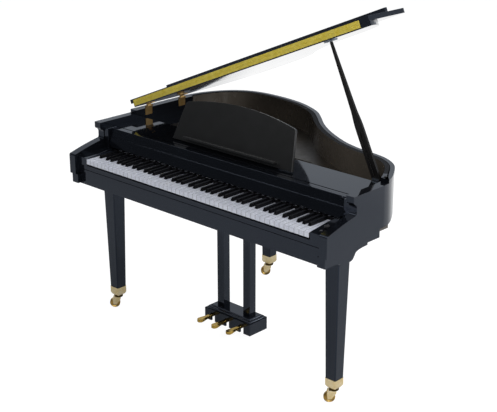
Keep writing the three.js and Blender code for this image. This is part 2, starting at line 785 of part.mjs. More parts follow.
// Keys: one white comb and one black comb for each octave, each joined along its rear strip
const WHITE_BOTTOM_Z = WHITE_TOP_Z - WHITE_HEIGHT;
const STRIP_FRONT_Y = KEY_PIVOT_Y - STRIP_DEPTH;
const whiteEdge = (i) => -WHITE_HALF + i * WHITE_PITCH;
const blackKeys = [];
for (let c = FIRST_C - OCTAVE_WHITES; c < WHITE_COUNT; c += OCTAVE_WHITES)
  for (const [edge, shiftShare] of BLACK_SHARES) {
    const i = c + edge;
    if (i > 0 && i < WHITE_COUNT - 1) blackKeys.push({ i, x: whiteEdge(i) + shiftShare * WHITE_PITCH });
  }

function whiteKey(i) {
  const left = whiteEdge(i) + KEY_GAP / 2;
  const right = whiteEdge(i + 1) - KEY_GAP / 2;
  const half = BLACK_WIDTH / 2 + BLACK_NOTCH_GAP;
  const onLeft = blackKeys.find((k) => k.i === i);
  const onRight = blackKeys.find((k) => k.i === i + 1);
  const tailLeft = onLeft ? onLeft.x + half : left;
  const tailRight = onRight ? onRight.x - half : right;
  const points = [
    [left, 0],
    [right, 0],
  ];
  if (onRight) points.push([right, WHITE_HEAD], [tailRight, WHITE_HEAD]);
  points.push([tailRight, KEY_PIVOT_Y], [tailLeft, KEY_PIVOT_Y]);
  if (onLeft) points.push([tailLeft, WHITE_HEAD], [left, WHITE_HEAD]);
  return raised(shapeOf(points), WHITE_BOTTOM_Z, WHITE_TOP_Z);
}

function whiteComb(from, to) {
  const strip = block(
    whiteEdge(from) + KEY_GAP / 2,
    whiteEdge(to) - KEY_GAP / 2,
    STRIP_FRONT_Y,
    KEY_PIVOT_Y,
    WHITE_BOTTOM_Z,
    WHITE_TOP_Z,
  );
  const keys = [];
  for (let i = from; i < to; i++) keys.push(whiteKey(i));
  return union(strip, ...keys);
}

const BLACK_FRONT_Y = WHITE_HEAD + BLACK_NOTCH_GAP;
const BLACK_STRIP_TOP_Z = WHITE_BOTTOM_Z - STRIP_GAP;
const BLACK_STRIP_BOTTOM_Z = BLACK_STRIP_TOP_Z - BLACK_STRIP_HEIGHT;
const BLACK_STRIP_BACK_Y = KEY_PIVOT_Y - RUN_GAP;
const BLACK_TAIL_BACK_Y = STRIP_FRONT_Y - STRIP_GAP;
const BLACK_TAIL_FRONT_Y = BLACK_TAIL_BACK_Y - STRIP_DEPTH;

function blackKey(x) {
  const top = WHITE_TOP_Z + BLACK_RISE;
  const side = shapeOf([
    [BLACK_FRONT_Y, top - BLACK_DEPTH - BLACK_SLOPE],
    [BLACK_TAIL_FRONT_Y, top - BLACK_DEPTH - BLACK_SLOPE],
    [BLACK_TAIL_FRONT_Y, BLACK_STRIP_BOTTOM_Z],
    [BLACK_STRIP_BACK_Y, BLACK_STRIP_BOTTOM_Z],
    [BLACK_STRIP_BACK_Y, BLACK_STRIP_TOP_Z],
    [BLACK_TAIL_BACK_Y, BLACK_STRIP_TOP_Z],
    [BLACK_TAIL_BACK_Y, WHITE_TOP_Z],
    [BLACK_BACK_Y, WHITE_TOP_Z],
    [BLACK_BACK_Y, top],
    [BLACK_FRONT_Y + BLACK_SLOPE, top],
    [BLACK_FRONT_Y, WHITE_TOP_Z],
  ]);
  const geometry = spread(side, -BLACK_WIDTH / 2, BLACK_WIDTH / 2);
  const position = geometry.getAttribute("position");
  for (let v = 0; v < position.count; v++)
    if (position.getZ(v) > WHITE_TOP_Z + KEY_GAP) position.setX(v, position.getX(v) * BLACK_TOP_WIDTH_SHARE);
  return geometry.translate(x, 0, 0);
}

function blackComb(keys) {
  const half = BLACK_WIDTH / 2;
  const strip = block(
    keys[0].x - half,
    keys[keys.length - 1].x + half,
    BLACK_STRIP_BACK_Y - STRIP_DEPTH,
    BLACK_STRIP_BACK_Y,
    BLACK_STRIP_BOTTOM_Z,
    BLACK_STRIP_TOP_Z,
  );
  return union(strip, ...keys.map((k) => blackKey(k.x)));
}

const octaves = Math.floor((WHITE_COUNT - FIRST_C) / OCTAVE_WHITES);
for (let n = 0; n < octaves; n++) {
  const from = n === 0 ? 0 : FIRST_C + n * OCTAVE_WHITES;
  const to = n === octaves - 1 ? WHITE_COUNT : FIRST_C + (n + 1) * OCTAVE_WHITES;
  add("white_keys_" + (n + 1), whiteComb(from, to), ivory);
  add("black_keys_" + (n + 1), blackComb(blackKeys.filter((k) => k.i > from && k.i < to)), ebony);
}

// Top board with its riser, the desk rail and the ears of the desk strut
const strutEar = (side) => {
  const mid = (side * (STRUT_WIDTH + STRUT_EAR + 2 * RUN_GAP)) / 2;
  return block(
    mid - STRUT_EAR / 2,
    mid + STRUT_EAR / 2,
    STRUT_FOOT_Y - STRUT_EAR_HALF_DEPTH,
    STRUT_FOOT_Y + STRUT_EAR_HALF_DEPTH,
    SHELF_TOP_Z - SHELF_THICK / 2,
    SHELF_TOP_Z + STRUT_EAR_HEIGHT,
  );
};
add(
  "top_board",
  union(
    common(
      raised(boardShape(SHELF_FRONT_Y), SHELF_TOP_Z - SHELF_THICK, SHELF_TOP_Z),
      block(-BED_HALF, BED_HALF, SHELF_FRONT_Y, SHELF_BACK_Y, BED_TOP_Z, RIM_TOP_Z),
    ),
    block(
      -RISER_HALF_LENGTH,
      RISER_HALF_LENGTH,
      SHELF_BACK_Y - RISER_THICK,
      SHELF_BACK_Y,
      BOTTOM_BOARD_TOP_Z + SEAT_GAP,
      SHELF_TOP_Z - SHELF_THICK / 2,
    ),
    block(
      -DESK_RAIL_HALF_LENGTH,
      DESK_RAIL_HALF_LENGTH,
      DESK_PIVOT_Y + RUN_GAP,
      DESK_PIVOT_Y + DESK_RAIL_DEPTH,
      SHELF_TOP_Z - SHELF_THICK / 2,
      SHELF_TOP_Z + DESK_RAIL_HEIGHT,
    ),
    strutEar(1),
    strutEar(-1),
    cylinderAlong("x", STRUT_PIN_R, STRUT_WIDTH + STRUT_EAR).translate(
      0,
      STRUT_FOOT_Y,
      SHELF_TOP_Z + STRUT_FOOT_RISE,
    ),
  ),
  lacquer,
);

// Key cover, built upright about its pivot and leaned back
const cover = new THREE.Group();
cover.position.set(0, COVER_PIVOT_Y, COVER_PIVOT_Z);
cover.rotation.x = -rad(COVER_LEAN);
piano.add(cover);

const COVER_BACK = COVER_FACE + COVER_THICK;
const LIP_BACK = COVER_FACE - SEAT_GAP;
const LIP_FRONT = LIP_BACK - LIP_THICK;
const coverTopAt = (y) => COVER_SEAM + (y - COVER_FACE) * Math.tan(rad(COVER_LEAN));
const coverPin = (side) =>
  cylinderAlong("x", COVER_PIN_R, 2 * COVER_PIN_LENGTH).translate(side * COVER_HALF_WIDTH, 0, 0);
const coverArm = (side) =>
  block(
    side * (COVER_HALF_WIDTH - COVER_PIN_LENGTH / 2) - COVER_PIN_LENGTH / 2,
    side * (COVER_HALF_WIDTH - COVER_PIN_LENGTH / 2) + COVER_PIN_LENGTH / 2,
    -COVER_PIN_R,
    COVER_BACK,
    -COVER_PIN_R,
    COVER_PIN_R + COVER_FOOT,
  );

// A board of the cover between two depths, its top edge cut level
function coverBoard(front, back, foot) {
  const side = shapeOf([
    [front, foot],
    [back, foot],
    [back, coverTopAt(back)],
    [front, coverTopAt(front)],
  ]);
  return spread(side, -COVER_HALF_WIDTH, COVER_HALF_WIDTH);
}

add(
  "key_cover",
  union(coverBoard(COVER_FACE, COVER_BACK, COVER_FOOT), coverArm(1), coverArm(-1), coverPin(1), coverPin(-1)),
  lacquer,
  cover,
);

const lipNotch = (side) =>
  block(
    side * COVER_HALF_WIDTH - LIP_NOTCH,
    side * COVER_HALF_WIDTH + LIP_NOTCH,
    LIP_FRONT - CUT_OVERRUN,
    LIP_BACK + CUT_OVERRUN,
    -LIP_FOOT - CUT_OVERRUN,
    COVER_PIN_R + COVER_FOOT + RUN_GAP,
  );
add(
  "key_cover_lip",
  cut(
    union(
      coverBoard(LIP_FRONT, LIP_BACK, -LIP_FOOT),
      cylinderAlong("y", PULL_R, 2 * PULL_RISE).translate(PULL_X, LIP_FRONT, PULL_HEIGHT),
    ),
    lipNotch(1),
    lipNotch(-1),
    block(
      -CASE_HALF_WIDTH,
      CASE_HALF_WIDTH,
      LIP_FRONT - CUT_OVERRUN,
      LIP_FRONT + LIP_GROOVE,
      LIP_GROOVE_HEIGHT - LIP_GROOVE / 2,
      LIP_GROOVE_HEIGHT + LIP_GROOVE / 2,
    ),
  ),
  lacquer,
  cover,
);

// Music desk, built upright about its hinge line and leaned back
const desk = new THREE.Group();
desk.position.set(0, DESK_PIVOT_Y, SHELF_TOP_Z + DESK_RAIL_HEIGHT);
desk.rotation.x = -rad(DESK_LEAN);
piano.add(desk);

function deskShape() {
  const shoulder = DESK_SIDE + DESK_CORNER * DESK_CORNER_SHARE;
  const s = new THREE.Shape();
  s.moveTo(-DESK_BOTTOM_HALF, -LEDGE_LIFT);
  s.lineTo(DESK_BOTTOM_HALF, -LEDGE_LIFT);
  s.lineTo(DESK_TOP_HALF, DESK_SIDE - DESK_CORNER);
  s.quadraticCurveTo(DESK_TOP_HALF, DESK_SIDE, DESK_TOP_HALF - DESK_CORNER, shoulder);
  for (let i = 1; i < CREST_STEPS; i++) {
    const share = i / CREST_STEPS;
    const x = (DESK_TOP_HALF - DESK_CORNER) * (1 - 2 * share);
    const arch = 4 * share * (1 - share);
    s.lineTo(x, shoulder + arch * (DESK_CREST - shoulder));
  }
  s.lineTo(-DESK_TOP_HALF + DESK_CORNER, shoulder);
  s.quadraticCurveTo(-DESK_TOP_HALF, DESK_SIDE, -DESK_TOP_HALF, DESK_SIDE - DESK_CORNER);
  return s;
}

add(
  "music_desk",
  union(
    pushed(deskShape(), -DESK_THICK, 0),
    block(
      -DESK_RAIL_HALF_LENGTH,
      DESK_RAIL_HALF_LENGTH,
      -DESK_THICK - LEDGE_DEPTH,
      -DESK_THICK / 2,
      LEDGE_LIFT,
      LEDGE_LIFT + LEDGE_THICK,
    ),
  ),
  lacquer,
  desk,
);

const strut = new THREE.Group();
strut.position.set(0, STRUT_FOOT_Y, SHELF_TOP_Z + STRUT_FOOT_RISE);
strut.rotation.x = rad(STRUT_LEAN);
piano.add(strut);

function strutProfile() {
  const r = STRUT_THICK / 2;
  const s = new THREE.Shape();
  s.moveTo(r, 0);
  s.lineTo(r, STRUT_LENGTH - r);
  s.absarc(0, STRUT_LENGTH - r, r, 0, Math.PI, false);
  s.lineTo(-r, 0);
  s.absarc(0, 0, STRUT_PIN_R * 2, Math.PI, 2 * Math.PI, false);
  return s;
}

add(
  "desk_strut",
  cut(
    spread(strutProfile(), -STRUT_WIDTH / 2, STRUT_WIDTH / 2),
    cylinderAlong("x", STRUT_PIN_R + SEAT_GAP, STRUT_WIDTH + CUT_OVERRUN),
  ),
  lacquer,
  strut,
);

// Lid: built closed about the hinge line and swung up
const lid = new THREE.Group();
lid.position.set(LID_PIVOT_X, 0, LID_PIVOT_Z);
lid.rotation.y = -rad(LID_ANGLE);
piano.add(lid);
const lidX = (x) => x - LID_PIVOT_X;

function lidShape() {
  const kept = outline(-LID_OVERHANG, LID_FRONT_Y).filter(([x]) => x > LID_LEFT_X);
  const corner = [LID_LEFT_X, LID_FRONT_Y];
  return shapeOf([...kept, corner].map(([x, y]) => [lidX(x), y]));
}

add("lid", raised(lidShape(), LID_LIFT, LID_LIFT + LID_THICK), lacquer, lid);

// The flap lies folded back on the lid, with its own rail along the free edge
const FLAP_Z = LID_LIFT + LID_THICK + SEAT_GAP;
const FLAP_BACK_Y = LID_FRONT_Y + FLAP_DEPTH;

function flapShape() {
  const left = lidX(FLAP_LEFT_X);
  const right = lidX(FLAP_RIGHT_X);
  const s = new THREE.Shape();
  s.moveTo(left, LID_FRONT_Y);
  s.lineTo(right, LID_FRONT_Y);
  s.lineTo(right, FLAP_BACK_Y - FLAP_RAIL_HEIGHT);
  s.quadraticCurveTo(right, FLAP_BACK_Y, right - FLAP_RAIL_HEIGHT, FLAP_BACK_Y);
  s.lineTo(left + FLAP_RAIL_HEIGHT, FLAP_BACK_Y);
  s.quadraticCurveTo(left, FLAP_BACK_Y, left, FLAP_BACK_Y - FLAP_RAIL_HEIGHT);
  return s;
}

add(
  "lid_flap",
  union(
    raised(flapShape(), FLAP_Z, FLAP_Z + LID_THICK),
    block(
      lidX(FLAP_RAIL_LEFT_X),
      lidX(FLAP_RAIL_LEFT_X + FLAP_RAIL_LENGTH),
      FLAP_BACK_Y - FLAP_RAIL_DEPTH,
      FLAP_BACK_Y - FLAP_RAIL_INSET,
      FLAP_Z + LID_THICK / 2,
      FLAP_Z + LID_THICK + FLAP_RAIL_HEIGHT,
    ),
  ),
  lacquer,
  lid,
);

// Long brass hinge of the flap: one leaf on each front edge, with the knuckle on the lid's leaf
const FOLD_Z = LID_LIFT + LID_THICK + SEAT_GAP / 2;
const LEAF_BACK_Y = LID_FRONT_Y - SEAT_GAP;
const FOLD_Y = LEAF_BACK_Y - LEAF_THICK;
add(
  "lid_long_leaf",
  union(
    block(
      lidX(LEAF_LEFT_X),
      lidX(LEAF_LEFT_X + LEAF_LENGTH),
      LEAF_BACK_Y - LEAF_THICK,
      LEAF_BACK_Y,
      FOLD_Z - LEAF_HEIGHT,
      FOLD_Z,
    ),
    cylinderAlong("x", KNUCKLE_R, LEAF_LENGTH).translate(
      lidX(LEAF_LEFT_X) + LEAF_LENGTH / 2,
      FOLD_Y,
      FOLD_Z,
    ),
  ),
  brass,
  lid,
);
add(
  "flap_long_leaf",
  block(
    lidX(LEAF_LEFT_X),
    lidX(LEAF_LEFT_X + LEAF_LENGTH),
    LEAF_BACK_Y - LEAF_THICK,
    LEAF_BACK_Y,
    FOLD_Z + KNUCKLE_R + SEAT_GAP,
    FOLD_Z + LEAF_HEIGHT,
  ),
  brass,
  lid,
);

// Brass hinges of the lid: a leaf with a slotted knuckle on the rim's inner face, a leaf under the lid
BUTT_Y.forEach((y, i) => {
  const half = BUTT_WIDTH / 2;
  const face = -INNER_HALF + SEAT_GAP;
  const end = half * KNUCKLE_END_SHARE;
  const tab = half / 2 - SEAT_GAP;
  const knuckles = [-1, 1].map((s) =>
    cylinderAlong("y", BUTT_KNUCKLE_R, half / 2 - SEAT_GAP).translate(
      LID_PIVOT_X,
      y + s * (half - end),
      LID_PIVOT_Z,
    ),
  );
  const arms = [-1, 1].map((s) =>
    block(
      face,
      LID_PIVOT_X,
      y + s * (half - end) - (end - SEAT_GAP / 2),
      y + s * (half - end) + (end - SEAT_GAP / 2),
      LID_PIVOT_Z - BUTT_KNUCKLE_R - BUTT_THICK,
      LID_PIVOT_Z,
    ),
  );
  add(
    "rim_hinge_leaf_" + (i + 1),
    union(
      block(
        face,
        face + BUTT_THICK,
        y - half,
        y + half,
        LID_PIVOT_Z - BUTT_KNUCKLE_R - BUTT_HEIGHT,
        LID_PIVOT_Z - BUTT_KNUCKLE_R,
      ),
      ...arms,
      ...knuckles,
      cylinderAlong("y", BUTT_PIN_R, BUTT_WIDTH - BUTT_THICK).translate(LID_PIVOT_X, y, LID_PIVOT_Z),
    ),
    brass,
  );
  const bore = cylinderAlong("y", BUTT_PIN_R + SEAT_GAP, BUTT_WIDTH).translate(0, y, 0);
  add(
    "lid_hinge_leaf_" + (i + 1),
    cut(
      union(
        block(
          -BUTT_KNUCKLE_R,
          BUTT_HEIGHT,
          y - tab,
          y + tab,
          LID_LIFT - SEAT_GAP - BUTT_THICK,
          LID_LIFT - SEAT_GAP,
        ),
        block(-BUTT_PIN_R, BUTT_KNUCKLE_R, y - tab, y + tab, 0, LID_LIFT - SEAT_GAP - BUTT_THICK / 2),
        cylinderAlong("y", BUTT_KNUCKLE_R, 2 * tab).translate(0, y, 0),
      ),
      bore,
    ),
    brass,
    lid,
  );
});

// Prop stick from its bracket to the plate under the lid
const slope = rad(LID_ANGLE);
const undersideAt = (x) => LID_PIVOT_Z + LID_LIFT / Math.cos(slope) + (x - LID_PIVOT_X) * Math.tan(slope);
const plateFace = PROP_PLATE_THICK + SEAT_GAP;
const tipReach = plateFace + SEAT_GAP + PROP_TOP_WIDTH / 2;
const PROP_TOP_Z = undersideAt(PROP_TOP_X) - tipReach / Math.cos(slope);
const propRise = PROP_TOP_Z - PROP_FOOT_Z;
const propLength = Math.hypot(PROP_RUN, propRise);
const prop = new THREE.Group();
prop.position.set(PROP_FOOT_X, PROP_Y, PROP_FOOT_Z);
prop.rotation.y = -Math.atan2(PROP_RUN, propRise);
piano.add(prop);

function propShape() {
  const s = new THREE.Shape();
  const foot = PROP_FOOT_WIDTH / 2;
  const waist = PROP_WAIST_WIDTH / 2;
  const top = PROP_TOP_WIDTH / 2;
  const shoulderZ = propLength * PROP_SHOULDER_SHARE;
  const waistZ = propLength * PROP_WAIST_SHARE;
  const bendZ = middle(shoulderZ, waistZ);
  s.moveTo(foot, 0);
  s.lineTo(foot, shoulderZ);
  s.bezierCurveTo(foot, bendZ, waist, bendZ, waist, waistZ);
  s.lineTo(top, propLength);
  s.absarc(0, propLength, top, 0, Math.PI, false);
  s.lineTo(-waist, waistZ);
  s.bezierCurveTo(-waist, bendZ, -foot, bendZ, -foot, shoulderZ);
  s.lineTo(-foot, 0);
  s.absarc(0, 0, PROP_FOOT_WIDTH / 2, Math.PI, 2 * Math.PI, false);
  return s;
}

const propGroove = block(
  -PROP_GROOVE_WIDTH / 2,
  PROP_GROOVE_WIDTH / 2,
  -PROP_THICK / 2 - CUT_OVERRUN,
  -PROP_THICK / 2 + PROP_GROOVE_DEPTH,
  PROP_FOOT_WIDTH / 2,
  propLength * PROP_GROOVE_SHARE,
);
add(
  "lid_prop",
  cut(
    pushed(propShape(), -PROP_THICK / 2, PROP_THICK / 2),
    propGroove,
    cylinderAlong("y", PROP_PIN_R + SEAT_GAP, PROP_THICK + 2 * CUT_OVERRUN),
  ),
  lacquer,
  prop,
);

// Bracket: two ears and a pin, standing on the inner deck
const earIn = PROP_THICK / 2 + RUN_GAP;
const ear = (side) =>
  block(
    PROP_FOOT_X - BRACKET_WIDTH / 2,
    PROP_FOOT_X + BRACKET_WIDTH / 2,
    PROP_Y + middle(side * earIn, side * (earIn + BRACKET_EAR)) - BRACKET_EAR / 2,
    PROP_Y + middle(side * earIn, side * (earIn + BRACKET_EAR)) + BRACKET_EAR / 2,
    DECK_Z + DECK_THICK + SEAT_GAP,
    PROP_FOOT_Z + PROP_PIN_R * 2,
  );
add(
  "prop_bracket",
  union(
    ear(1),
    ear(-1),
    block(
      PROP_FOOT_X - BRACKET_WIDTH / 2,
      PROP_FOOT_X + BRACKET_WIDTH / 2,
      PROP_Y - earIn - BRACKET_EAR,
      PROP_Y + earIn + BRACKET_EAR,
      DECK_Z + DECK_THICK + SEAT_GAP,
      DECK_Z + DECK_THICK + SEAT_GAP + BRACKET_EAR,
    ),
    cylinderAlong("y", PROP_PIN_R, 2 * (earIn + BRACKET_EAR / 2)).translate(PROP_FOOT_X, PROP_Y, PROP_FOOT_Z),
  ),
  steel,
);
add(
  "prop_plate",
  block(
    (PROP_TOP_X - LID_PIVOT_X) / Math.cos(slope) - PROP_PLATE_LENGTH / 2,
    (PROP_TOP_X - LID_PIVOT_X) / Math.cos(slope) + PROP_PLATE_LENGTH / 2,
    PROP_Y - PROP_PLATE_WIDTH / 2,
    PROP_Y + PROP_PLATE_WIDTH / 2,
    LID_LIFT - SEAT_GAP - PROP_PLATE_THICK,
    LID_LIFT - SEAT_GAP,
  ),
  steel,
  lid,
);

// Legs with their ferrules and casters
function squareLoft(sections) {
  const positions = [];
  const faces = [];
  sections.forEach(({ z, half, chamfer }) => {
    const c = half - chamfer;
    const corners = [
      [c, -half],
      [half, -c],
      [half, c],
      [c, half],
      [-c, half],
      [-half, c],
      [-half, -c],
      [-c, -half],
    ];
    corners.forEach(([x, y]) => positions.push(x, y, z));
  });
  const n = 8;
  for (let k = 0; k < sections.length - 1; k++)
    for (let i = 0; i < n; i++) {
      const a = k * n + i;
      const b = k * n + ((i + 1) % n);
      faces.push(a, b, b + n, a, b + n, a + n);
    }
  const last = (sections.length - 1) * n;
  for (let i = 1; i < n - 1; i++) faces.push(0, i + 1, i, last, last + i, last + i + 1);
  const geometry = new THREE.BufferGeometry();
  geometry.setAttribute("position", new THREE.Float32BufferAttribute(positions, 3));
  geometry.setIndex(faces);
  geometry.computeVertexNormals();
  return geometry;
}

const FERRULE_BOTTOM_Z = LEG_FOOT_Z - FERRULE_HEIGHT;
const FORK_TOP_Z = 2 * WHEEL_R + FORK_DROP;

function legGeometry(topZ) {
  return squareLoft([
    { z: LEG_FOOT_Z, half: LEG_FOOT_WIDTH / 2, chamfer: LEG_CHAMFER },
    { z: topZ, half: LEG_TOP_WIDTH / 2, chamfer: LEG_CHAMFER },
  ]);
}

function ferruleGeometry() {
  const half = LEG_FOOT_WIDTH / 2 + FERRULE_RIM;
  const cup = squareLoft([
    { z: FERRULE_BOTTOM_Z, half: half - FERRULE_TAPER, chamfer: LEG_CHAMFER },
    { z: FERRULE_BOTTOM_Z + FERRULE_TAPER_HEIGHT, half, chamfer: LEG_CHAMFER },
    { z: LEG_FOOT_Z - SEAT_GAP, half, chamfer: LEG_CHAMFER },
  ]);
  const bore = cylinderAlong("z", STEM_R + SEAT_GAP, FERRULE_HEIGHT);
  return cut(cup, bore.translate(0, 0, FERRULE_BOTTOM_Z + FERRULE_HEIGHT * FERRULE_BORE_SHARE));
}

// Fork with its stem, drawn with the wheel trailing along +X
function forkGeometry() {
  const half = WHEEL_WIDTH / 2 + RUN_GAP;
  const plateZ = FORK_TOP_Z - FORK_THICK;
  const cheekShape = shapeOf([
    [-STEM_R - FORK_THICK, FORK_TOP_Z],
    [-STEM_R - FORK_THICK, plateZ - FORK_SLOPE],
    [CASTER_TRAIL - AXLE_R * 2, WHEEL_R - AXLE_R * 2],
    [CASTER_TRAIL + AXLE_R * 2, WHEEL_R - AXLE_R * 2],
    [CASTER_TRAIL + FORK_WIDTH / 2, plateZ - FORK_SLOPE],
    [CASTER_TRAIL + FORK_WIDTH / 2 - FORK_THICK, FORK_TOP_Z],
  ]);
  const cheeks = [half, -half - FORK_THICK].map((y) => pushed(cheekShape, y, y + FORK_THICK));
  const plate = block(
    -STEM_R - FORK_THICK,
    CASTER_TRAIL + FORK_WIDTH / 2 - FORK_THICK,
    -half - FORK_THICK,
    half + FORK_THICK,
    plateZ,
    FORK_TOP_Z,
  );
  const stemLength = FERRULE_BOTTOM_Z + FERRULE_HEIGHT / 2 - plateZ;
  return union(
    plate,
    ...cheeks,
    cylinderAlong("z", STEM_R, stemLength).translate(0, 0, plateZ + stemLength / 2),
    cylinderAlong("z", STEM_R + FORK_THICK, FERRULE_BOTTOM_Z - RUN_GAP - plateZ).translate(
      0,
      0,
      middle(FERRULE_BOTTOM_Z - RUN_GAP, plateZ),
    ),
    cylinderAlong("y", AXLE_R, 2 * (half + FORK_THICK)).translate(CASTER_TRAIL, 0, WHEEL_R),
  );
}

// Wheel as a turned ring with a rounded tread and a recessed hub
function wheelGeometry() {
  const half = WHEEL_WIDTH / 2;
  const bore = AXLE_R + SEAT_GAP;
  const profile = [
    [bore, -half],
    [HUB_R, -half],
    [HUB_R + HUB_RECESS, -half + HUB_RECESS],
    [WHEEL_R - WHEEL_ROUND * 2, -half + HUB_RECESS],
    [WHEEL_R - WHEEL_ROUND, -half],
    [WHEEL_R, -half + WHEEL_ROUND],
    [WHEEL_R, half - WHEEL_ROUND],
    [WHEEL_R - WHEEL_ROUND, half],
    [WHEEL_R - WHEEL_ROUND * 2, half - HUB_RECESS],
    [HUB_R + HUB_RECESS, half - HUB_RECESS],
    [HUB_R, half],
    [bore, half],
    [bore, -half],
  ];
  return new THREE.LatheGeometry(
    profile.map(([r, y]) => new THREE.Vector2(r, y)),
    SHAFT_SIDES,
  );
}

const stations = [
  { name: "left", x: -LEG_X, y: LEG_Y, top: ARM_BOTTOM_Z - SEAT_GAP },
  { name: "right", x: LEG_X, y: LEG_Y, top: ARM_BOTTOM_Z - SEAT_GAP },
  { name: "rear", x: REAR_LEG_X, y: REAR_LEG_Y, top: BED_TOP_Z - SEAT_GAP },
];
for (const { name, x, y, top } of stations) {
  add("leg_" + name, legGeometry(top).translate(x, y, 0), lacquer);
  add("ferrule_" + name, ferruleGeometry().translate(x, y, 0), brass);
  const caster = new THREE.Group();
  caster.position.set(x, y, 0);
  caster.rotation.z = rad(CASTER_HEADING);
  piano.add(caster);
  add("caster_fork_" + name, forkGeometry(), brass, caster);
  add("caster_wheel_" + name, wheelGeometry().translate(CASTER_TRAIL, 0, WHEEL_R), tread, caster);
}

// Lyre: a top plate and two posts on a hollow pedal box that is open below
const lyrePost = (side) => {
  const mid = LYRE_X + side * (LYRE_POST_GAP + LYRE_POST_WIDTH) / 2;
  return block(
    mid - LYRE_POST_WIDTH / 2,
    mid + LYRE_POST_WIDTH / 2,
    LYRE_POST_Y,
    LYRE_POST_Y + LYRE_POST_DEPTH,
    LYRE_TOP_Z - LYRE_WALL / 2,
    ARM_BOTTOM_Z - SEAT_GAP,
  );
};

function lyreBoxShape() {
  const x0 = LYRE_X - LYRE_HALF_WIDTH;
  const x1 = LYRE_X + LYRE_HALF_WIDTH;
  const y1 = LYRE_FRONT_Y + LYRE_DEPTH;
  const s = new THREE.Shape();
  s.moveTo(x0, LYRE_FRONT_Y);
  s.lineTo(x1, LYRE_FRONT_Y);
  s.lineTo(x1, y1 - LYRE_CORNER);
  s.quadraticCurveTo(x1, y1, x1 - LYRE_CORNER, y1);
  s.lineTo(x0 + LYRE_CORNER, y1);
  s.quadraticCurveTo(x0, y1, x0, y1 - LYRE_CORNER);
  return s;
}

const pedalX = (n) => LYRE_X + n * PEDAL_PITCH;
const pedalSlots = [-1, 0, 1].map((n) =>
  block(
    pedalX(n) - PEDAL_NECK_WIDTH / 2 - PEDAL_SLOT_SIDE,
    pedalX(n) + PEDAL_NECK_WIDTH / 2 + PEDAL_SLOT_SIDE,
    LYRE_FRONT_Y - CUT_OVERRUN,
    LYRE_FRONT_Y + LYRE_WALL + CUT_OVERRUN,
    LYRE_BOTTOM_Z - CUT_OVERRUN,
    PEDAL_Z + PEDAL_THICK / 2 + PEDAL_SLOT_ABOVE,
  ),
);
const lyreShell = cut(
  raised(lyreBoxShape(), LYRE_BOTTOM_Z, LYRE_TOP_Z),
  block(
    LYRE_X - LYRE_HALF_WIDTH + LYRE_WALL,
    LYRE_X + LYRE_HALF_WIDTH - LYRE_WALL,
    LYRE_FRONT_Y + LYRE_WALL,
    LYRE_FRONT_Y + LYRE_DEPTH - LYRE_WALL,
    LYRE_BOTTOM_Z - CUT_OVERRUN,
    LYRE_TOP_Z - LYRE_WALL,
  ),
  ...pedalSlots,
);
const pedalPin = cylinderAlong("x", PEDAL_PIN_R, 2 * LYRE_HALF_WIDTH - LYRE_WALL);
add(
  "lyre",
  union(
    lyreShell,
    lyrePost(-1),
    lyrePost(1),
    block(
      LYRE_X - LYRE_PLATE_HALF,
      LYRE_X + LYRE_PLATE_HALF,
      LYRE_PLATE_FRONT_Y,
      LYRE_PLATE_FRONT_Y + LYRE_PLATE_DEPTH,
      ARM_BOTTOM_Z - SEAT_GAP - LYRE_PLATE_THICK,
      ARM_BOTTOM_Z - SEAT_GAP,
    ),
    pedalPin.translate(LYRE_X, PEDAL_PIVOT_Y, PEDAL_Z),
  ),
  lacquer,
);

// Pedals: a broad rounded toe on a narrow neck, bored for the cross pin
function pedalShape() {
  const tip = PEDAL_TIP_WIDTH / 2;
  const neck = PEDAL_NECK_WIDTH / 2;
  const front = LYRE_FRONT_Y - PEDAL_REACH + tip;
  const neckY = LYRE_FRONT_Y - PEDAL_REACH * PEDAL_NECK_SHARE;
  const back = PEDAL_PIVOT_Y + PEDAL_TAIL;
  const s = new THREE.Shape();
  s.moveTo(neck, back);
  s.lineTo(-neck, back);
  s.lineTo(-neck, neckY);
  s.bezierCurveTo(-neck, middle(front, neckY), -tip, middle(front, neckY), -tip, front);
  s.absarc(0, front, tip, Math.PI, 2 * Math.PI, false);
  s.bezierCurveTo(tip, middle(front, neckY), neck, middle(front, neckY), neck, neckY);
  return s;
}

["left", "middle", "right"].forEach((name, i) => {
  const boss = cylinderAlong("x", PEDAL_PIN_R + PEDAL_THICK / 2, PEDAL_NECK_WIDTH);
  const bore = cylinderAlong("x", PEDAL_PIN_R + SEAT_GAP, PEDAL_TIP_WIDTH);
  const body = union(
    raised(pedalShape(), PEDAL_Z - PEDAL_THICK / 2, PEDAL_Z + PEDAL_THICK / 2),
    boss.translate(0, PEDAL_PIVOT_Y, PEDAL_Z),
  );
  const pedal = cut(body, bore.translate(0, PEDAL_PIVOT_Y, PEDAL_Z));
  add("pedal_" + name, pedal.translate(pedalX(i - 1), 0, 0), brass);
});

// Power inlet let into the underside of the bottom board
const inletTop = BED_TOP_Z - SEAT_GAP;
add(
  "power_inlet",
  cut(
    block(
      INLET_X - INLET_WIDTH / 2,
      INLET_X + INLET_WIDTH / 2,
      INLET_Y - INLET_HEIGHT / 2,
      INLET_Y + INLET_HEIGHT / 2,
      inletTop - INLET_DEPTH,
      inletTop,
    ),
    block(
      INLET_X - INLET_WIDTH / 2 + INLET_WALL,
      INLET_X + INLET_WIDTH / 2 - INLET_WALL,
      INLET_Y - INLET_HEIGHT / 2 + INLET_WALL,
      INLET_Y + INLET_HEIGHT / 2 - INLET_WALL,
      inletTop - INLET_DEPTH - CUT_OVERRUN,
      inletTop - INLET_WALL,
    ),
  ),
  plastic,
);

